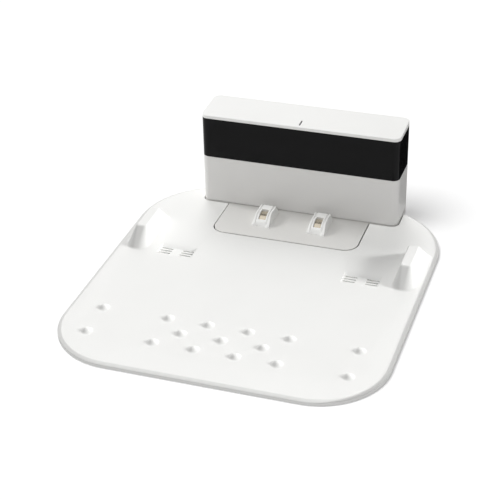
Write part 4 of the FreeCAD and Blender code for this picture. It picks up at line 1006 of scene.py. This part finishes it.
def inlet_mesh():
    """Two-pin inlet with a waisted socket."""
    bm = bmesh.new()
    x = INLET_MIDDLE.x
    z = INLET_MIDDLE.z
    lobe = 4.3 * MM
    offset = 3.3 * MM
    half_waist = 3.6 * MM
    corner = 1 * MM
    waist = math.degrees(math.asin(half_waist / lobe))
    edges = outline(bm, rounded(INLET_LOW.x, INLET_HIGH.x, -INLET_HIGH.z, -INLET_LOW.z, corner), 0)
    back = prism(bm, edges, (0, 0, -(INLET_HIGH.y - INLET_LOW.y)))[0]
    ring = back.edges[:]
    bmesh.ops.delete(bm, geom=[back], context="FACES_ONLY")
    lobes = [(x + offset, -z, lobe, -waist, waist), (x - offset, -z, lobe, 180 - waist, 180 + waist)]
    mouth = outline(bm, lobes, 0)
    bmesh.ops.triangle_fill(bm, use_beauty=True, edges=ring + mouth)
    filled(bm, drawn(bm, mouth, (0, 0, -SOCKET_DEPTH)))
    stand = Matrix.Translation((0, INLET_HIGH.y, 0)) @ Matrix.Rotation(math.radians(-90), 4, "X")
    bmesh.ops.transform(bm, matrix=stand, verts=bm.verts[:])
    return bm


def pin_mesh():
    """Two round pins with domed tips in the inlet."""
    bm = bmesh.new()
    root = INLET_HIGH.y - SOCKET_DEPTH
    thick = 1.2 * MM
    long = 10 * MM
    dome = [(thick * math.cos(angle), long - thick + thick * math.sin(angle))
            for angle in (math.radians(step * 22.5) for step in range(4))]
    for side in SIDES.values():
        profile = [(0, 0), (thick, 0)] + dome + [(0, long)]
        place = (INLET_MIDDLE.x + side * PIN_OFFSET, root, INLET_MIDDLE.z)
        turned(bm, profile, place, (0, 1, 0), 20)
    return bm


def pad_mesh(name):
    """Rubber disc with a round lower edge and a shallow dish."""
    bm = bmesh.new()
    low, high = corners(name)
    radius = (high.x - low.x) / 2
    tall = high.z - low.z
    edge = 0.45 * MM
    dish = 0.25 * MM
    middle = (low + high) / 2
    profile = [(0, tall), (radius, tall), (radius, edge), (radius - edge * 0.3, edge * 0.3),
               (radius - edge, 0), (radius * 0.72, 0), (radius * 0.66, dish), (0, dish)]
    turned(bm, profile, (middle.x, middle.y, low.z), (0, 0, 1), 48)
    return bm


# Stage

def seen(tree):
    """1 for rays from the camera, from mirrors and through glass, and 0 for light."""
    ray = add(tree, "ShaderNodeLightPath")
    either = add(tree, "ShaderNodeMath", {0: ray.outputs["Is Camera Ray"], 1: ray.outputs["Is Glossy Ray"]},
                 operation="MAXIMUM")
    any_of_them = add(tree, "ShaderNodeMath", {0: either.outputs[0], 1: ray.outputs["Is Transmission Ray"]},
                      operation="MAXIMUM")
    return any_of_them.outputs[0]


def stage_piece(name, bm, material):
    """Object of the stage."""
    mesh = bpy.data.meshes.new(name)
    bm.to_mesh(mesh)
    bm.free()
    mesh.materials.append(material)
    piece = bpy.data.objects.new(name, mesh)
    bpy.context.scene.collection.objects.link(piece)
    return piece


def stage_plane(name, low, high, material):
    """Level sheet of the stage between two corners."""
    bm = bmesh.new()
    low = Vector(low)
    high = Vector(high)
    place = Matrix.Translation((low + high) / 2) @ Matrix.Diagonal((*((high - low) / 2).xy, 1.0, 1.0))
    bmesh.ops.create_grid(bm, x_segments=1, y_segments=1, size=1.0, matrix=place)
    return stage_piece(name, bm, material)


def stage_floor(glow):
    """Pale floor that clips to white where it is lit and keeps the object's shadow."""
    material, tree, shader, _ = new_finish("Painted studio floor")
    shader.inputs["Base Color"].default_value = linear("#F4F4F4")
    shader.inputs["Roughness"].default_value = 0.9
    shader.inputs["Specular IOR Level"].default_value = 0.0
    shader.inputs["Emission Color"].default_value = (1.0, 1.0, 1.0, 1.0)
    light = add(tree, "ShaderNodeMath", {0: seen(tree), 1: glow}, operation="MULTIPLY")
    tree.links.new(light.outputs[0], shader.inputs["Emission Strength"])
    return stage_plane("floor", (-4, -4, 0), (4, 4, 0), material)


def dark_cards():
    """Black cards of painted shade: one beside the tower that only the window mirrors, a painted dark
    reflection on its side, and one below the foot, painted shade in its seams.
    """
    material, _, shader, _ = new_finish("Black card for painted shade")
    shader.inputs["Base Color"].default_value = linear("#0A0A0A")
    shader.inputs["Specular IOR Level"].default_value = 0.0
    # Painted reflection: a card that only mirrors see darkens the window's right side
    card = stage_plane("dark_card", (0.119, 0.20, 0.002), (0.30, 0.42, 0.002), material)
    card.visible_camera = False
    card.visible_diffuse = False
    card.visible_shadow = False
    # Painted shade: a black sheet below the foot darkens its seams
    stage_plane("seam_shade_card", (-0.1, 0.06, 0.0004), (0.1, 0.14, 0.0004), material)


def light_group(name, pieces, state):
    """Pieces that a light takes in, or leaves out."""
    group = bpy.data.collections.new(name)
    for piece in pieces:
        group.objects.link(piece)
    for entry in group.collection_objects:
        entry.light_linking.link_state = state
    return group


def lamp(name, data, place, target, receivers):
    """Light at a place that looks at a point and lights some of the pieces."""
    light = bpy.data.objects.new(name, data)
    light.location = place
    light.rotation_euler = (Vector(target) - Vector(place)).to_track_quat("-Z", "Y").to_euler()
    light.light_linking.receiver_collection = receivers
    bpy.context.scene.collection.objects.link(light)
    return light


def softbox(name, place, target, width, height, watts, receivers):
    """Rectangular soft light."""
    data = bpy.data.lights.new(name, "AREA")
    data.shape = "RECTANGLE"
    data.size = width
    data.size_y = height
    data.energy = watts
    light = lamp(name, data, place, target, receivers)
    light.visible_glossy = False


def far_light(name, place, angle, strength, receivers, blockers):
    """Far light of some width, which only some of the pieces shade."""
    data = bpy.data.lights.new(name, "SUN")
    data.angle = math.radians(angle)
    data.energy = strength
    light = lamp(name, data, place, (0, 0, 0), receivers)
    light.light_linking.blocker_collection = blockers
    light.visible_glossy = False


def low_flag(tray, dock):
    """Low black border round the tray, out of the camera's sight, that keeps the low light off its edge."""
    bm = bmesh.new()
    gap = 1.5 * MM
    rise = 2.2 * MM
    arcs = tray_arcs(tray, dock, -gap)
    drawn(bm, outline(bm, arcs[:2] + arcs[-2:], 0), (0, 0, TRAY_TOP + rise))
    material, _, shader, _ = new_finish("Black flocked border")
    shader.inputs["Base Color"].default_value = linear("#0A0A0A")
    flag = stage_piece("low_flag", bm, material)
    flag.visible_camera = False
    flag.visible_diffuse = False
    flag.visible_glossy = False
    return flag


def world_light(ambient):
    """Even white surroundings: dim as light, full white where they are seen or mirrored."""
    world = bpy.data.worlds.new("White room")
    bpy.context.scene.world = world
    world.use_nodes = True
    tree = world.node_tree
    strength = add(tree, "ShaderNodeMapRange", {"Value": seen(tree), "To Min": ambient, "To Max": 1.0})
    background = tree.nodes["Background"]
    background.inputs["Color"].default_value = (1.0, 1.0, 1.0, 1.0)
    tree.links.new(strength.outputs["Result"], background.inputs["Strength"])


def photo_camera():
    """Camera at the photograph's place, from its direction, tilt and distance."""
    place = Vector((390.4, -1168.75, 781.4)) * MM
    azimuth = math.radians(18.933)
    elevation = math.radians(31.092)
    roll = math.radians(-1.28)
    back = Vector((math.sin(azimuth) * math.cos(elevation), -math.cos(azimuth) * math.cos(elevation),
                   math.sin(elevation)))
    right = (-back).cross(Vector((0, 0, 1))).normalized()
    up = right.cross(-back)
    level = math.cos(roll) * right + math.sin(roll) * up
    upright = math.cos(roll) * up - math.sin(roll) * right
    data = bpy.data.cameras.new("camera")
    focal_pixels = 1386.935
    image_pixels = 500
    data.sensor_width = 36.0
    data.lens = focal_pixels * data.sensor_width / image_pixels
    camera = bpy.data.objects.new("camera", data)
    camera.matrix_world = Matrix.Translation(place) @ Matrix((level, upright, back)).transposed().to_4x4()
    bpy.context.scene.collection.objects.link(camera)
    bpy.context.scene.camera = camera


# Operators

class DOCK_OT_drip_tray(bpy.types.Operator):
    """Drip tray with guide fins, bumps and wheel patches"""
    bl_idname = "dock.drip_tray"
    bl_label = "Drip tray"

    def execute(self, context):
        scene = context.scene
        white = moulded_plastic("ABS moulded matt white", scene.dock_colours.tray, 0.46, 0.9 * MM, 0.03 * MM)
        bm = tray_mesh(scene.tray_sizes, scene.dock_sizes)
        finished("drip_tray_moulding", bm, "dock", "tray_white", white, "drip_tray")
        return {"FINISHED"}


class DOCK_OT_charging_foot(bpy.types.Operator):
    """Charging foot with its two contact pods"""
    bl_idname = "dock.charging_foot"
    bl_label = "Charging foot"

    def execute(self, context):
        scene = context.scene
        colours = scene.dock_colours
        white = moulded_plastic("ABS moulded warm white", colours.foot, 0.42, 0.9 * MM, 0.03 * MM)
        # Painted light: the pods get a whiter copy of the foot's plastic
        bright = moulded_plastic("ABS moulded white brightened as painted light", colours.pods, 0.36, 0.9 * MM, 0.02 * MM)
        finished("charging_foot", foot_mesh(scene.dock_sizes), "dock", "base_white", white, "dock_base")
        finished("contact_pods", pods_mesh(scene.dock_sizes), "dock", "base_white", bright)
        return {"FINISHED"}


class DOCK_OT_contacts(bpy.types.Operator):
    """Sprung charging contacts"""
    bl_idname = "dock.contacts"
    bl_label = "Contacts"

    def execute(self, context):
        scene = context.scene
        dock = scene.dock_sizes
        metal = stamped_plating("Bronze strip stamped and nickel plated", scene.dock_colours.contact, 0.24)
        for name, side in SIDES.items():
            bm = contact_mesh(dock, side * dock.pod_spacing / 2)
            finished(f"contact_plate_{name}", bm, f"{name}_contact", "contact_metal", metal,
                     f"contact_{name}")
        return {"FINISHED"}


class DOCK_OT_tower(bpy.types.Operator):
    """Tower's housing, window, rear panel, cap and light pipe"""
    bl_idname = "dock.tower"
    bl_label = "Tower"

    def execute(self, context):
        scene = context.scene
        dock = scene.dock_sizes
        colours = scene.dock_colours
        housing = moulded_plastic("ABS moulded satin white", colours.housing, 0.36, 0.8 * MM, 0.02 * MM)
        cap = moulded_plastic("ABS moulded fine white", colours.cap, 0.34, 0.8 * MM, 0.015 * MM)
        window = polished_polycarbonate("Polycarbonate polished infrared black", colours.window)
        pipe = moulded_plastic("Polycarbonate frosted grey", linear("#3C3C3B"), 0.3, 0.8 * MM, 0.01 * MM)
        finished("housing_wall", housing_mesh(dock), "dock", "housing_white", housing, "lower_housing")
        finished("infrared_window", window_mesh(dock), "dock", "window_black", window, "window_band")
        finished("back_panel", panel_mesh(), "dock", "housing_white", housing, "rear_panel")
        finished("tower_cap", cap_mesh(dock), "dock", "cap_white", cap, "top_cap")
        finished("indicator_pipe", pipe_mesh(dock), "dock", "indicator", pipe, "light_pipe")
        return {"FINISHED"}


class DOCK_OT_inlet(bpy.types.Operator):
    """Mains inlet with its pins"""
    bl_idname = "dock.inlet"
    bl_label = "Inlet"

    def execute(self, context):
        black = moulded_plastic("Nylon moulded black", linear("#1B1B1C"), 0.4, 0.7 * MM, 0.02 * MM)
        metal = stamped_plating("Brass pin turned and nickel plated", linear("#D6D3CC"), 0.2)
        finished("inlet_body", inlet_mesh(), "dock", "component_black", black, "mains_inlet")
        finished("inlet_pins", pin_mesh(), "dock", "screw_steel", metal)
        return {"FINISHED"}


class DOCK_OT_pads(bpy.types.Operator):
    """Rubber pads below the tray and the dock"""
    bl_idname = "dock.pads"
    bl_label = "Pads"

    def execute(self, context):
        rubber = moulded_rubber("Rubber moulded dark grey", context.scene.dock_colours.rubber)
        for name in PADS:
            finished(f"{name}_disc", pad_mesh(name), "dock", "pad_rubber", rubber, name)
        return {"FINISHED"}


class DOCK_OT_inside(bpy.types.Operator):
    """Finishes of the plate below and of the parts inside the tower"""
    bl_idname = "dock.inside"
    bl_label = "Parts inside"

    def execute(self, context):
        colours = context.scene.dock_colours
        sides = tuple(SIDES)
        dressed(moulded_plastic("ABS moulded plate white", colours.foot, 0.45, 0.9 * MM, 0.03 * MM),
                "bottom_plate")
        dressed(moulded_plastic("ABS moulded black", colours.frame, 0.45, 0.8 * MM, 0.02 * MM), "inner_frame",
                "emitter_hood")
        dressed(pressed_laminate("Glass laminate pressed and lacquered green", colours.board), "main_board",
                "power_board")
        dressed(moulded_plastic("Nylon moulded coil black", linear("#202022"), 0.5, 0.7 * MM, 0.02 * MM),
                "transformer")
        dressed(moulded_plastic("Vinyl sleeve shrunk dark blue", linear("#232B3C"), 0.3, 1.2 * MM, 0.01 * MM),
                "bulk_capacitor")
        dressed(moulded_plastic("Vinyl extruded grey", linear("#8C8D8E"), 0.4, 0.8 * MM, 0.01 * MM),
                "link_cable")
        dressed(cast_epoxy("Epoxy cast clear", linear("#EDEFF2")), "status_led", "ir_emitter_centre",
                *(f"ir_emitter_{side}" for side in sides))
        dressed(stamped_plating("Spring steel rolled bright", linear("#B4B2AE"), 0.28),
                *(f"contact_spring_{side}" for side in sides))
        dressed(stamped_plating("Brass sheet stamped", linear("#C8A660"), 0.3),
                *(f"contact_strip_{side}" for side in sides))
        dressed(stamped_plating("Steel screw cold formed and zinc plated", linear("#BDBEC0"), 0.32),
                "housing_screws", "plate_screws", "board_screws")
        return {"FINISHED"}


class DOCK_OT_stage(bpy.types.Operator):
    """Floor, lights and camera"""
    bl_idname = "dock.stage"
    bl_label = "Stage"

    def execute(self, context):
        scene = context.scene
        light = scene.dock_stage
        scene.view_settings.view_transform = "Standard"
        world_light(light.ambient)
        tray, foot, pods = (bpy.data.objects[name]
                            for name in ("drip_tray_moulding", "charging_foot", "contact_pods"))
        floor = stage_floor(light.floor_glow)
        dark_cards()
        flag = low_flag(scene.tray_sizes, scene.dock_sizes)
        upright = light_group("all but the tray and the floor", (tray, floor), "EXCLUDE")
        tray_only = light_group("tray", (tray,), "INCLUDE")
        floor_only = light_group("floor", (floor,), "INCLUDE")
        low_things = light_group("tray, foot and border", (tray, foot, flag), "INCLUDE")
        pods_only = light_group("pods", (pods,), "INCLUDE")
        no_flag = light_group("all but the border", (flag,), "EXCLUDE")
        softbox("dock softbox", (-0.15, 0.55, 1.5), (0, 0, 0), 1.6, 1.2, light.dock_watts, upright)
        softbox("dock fill", (0.1, -1.3, 1.0), (0, 0.1, 0.05), 1.2, 0.8, light.fill_watts, upright)
        softbox("dock side light", (-2.38, 0.43, 1.68), (0, 0.12, 0.03), 0.6, 0.6, light.side_watts, upright)
        softbox("pod light", (-0.7, -0.3, 1.2), (0, 0.11, 0.01), 0.5, 0.5, light.pod_watts, pods_only)
        far_light("floor light", (-0.42, -0.28, 1.0), 40, light.floor_sun, floor_only, no_flag)
        far_light("tray top light", (-0.26, 0.56, 0.79), 28, light.top_sun, tray_only, no_flag)
        far_light("tray back light", (-0.17, 0.77, 0.56), 28, light.back_sun, tray_only, low_things)
        far_light("tray low light", (0.92, 0.14, 0.365), 14, light.low_sun, tray_only, low_things)
        photo_camera()
        return {"FINISHED"}


class DOCK_PT_panel(bpy.types.Panel):
    """Lists the dock's pieces"""
    bl_label = "Charging dock"
    bl_idname = "DOCK_PT_panel"
    bl_space_type = "VIEW_3D"
    bl_region_type = "UI"
    bl_category = "Dock"

    def draw(self, context):
        for operator in PIECES:
            self.layout.operator(operator.bl_idname)


GROUPS = {"tray_sizes": TraySizes, "dock_sizes": DockSizes, "dock_colours": DockColours,
          "dock_stage": StageSettings}
PIECES = (DOCK_OT_drip_tray, DOCK_OT_charging_foot, DOCK_OT_contacts, DOCK_OT_tower, DOCK_OT_inlet,
          DOCK_OT_pads, DOCK_OT_inside, DOCK_OT_stage)


def register():
    for group in GROUPS.values():
        bpy.utils.register_class(group)
    for operator in PIECES:
        bpy.utils.register_class(operator)
    bpy.utils.register_class(DOCK_PT_panel)
    for name, group in GROUPS.items():
        setattr(bpy.types.Scene, name, bpy.props.PointerProperty(type=group))


def unregister():
    for name in GROUPS:
        delattr(bpy.types.Scene, name)
    bpy.utils.unregister_class(DOCK_PT_panel)
    for operator in PIECES:
        bpy.utils.unregister_class(operator)
    for group in GROUPS.values():
        bpy.utils.unregister_class(group)


def main():
    register()
    bpy.ops.dock.drip_tray()
    bpy.ops.dock.charging_foot()
    bpy.ops.dock.contacts()
    bpy.ops.dock.tower()
    bpy.ops.dock.inlet()
    bpy.ops.dock.pads()
    bpy.ops.dock.inside()
    bpy.ops.dock.stage()


if __name__ == "__main__":
    main()
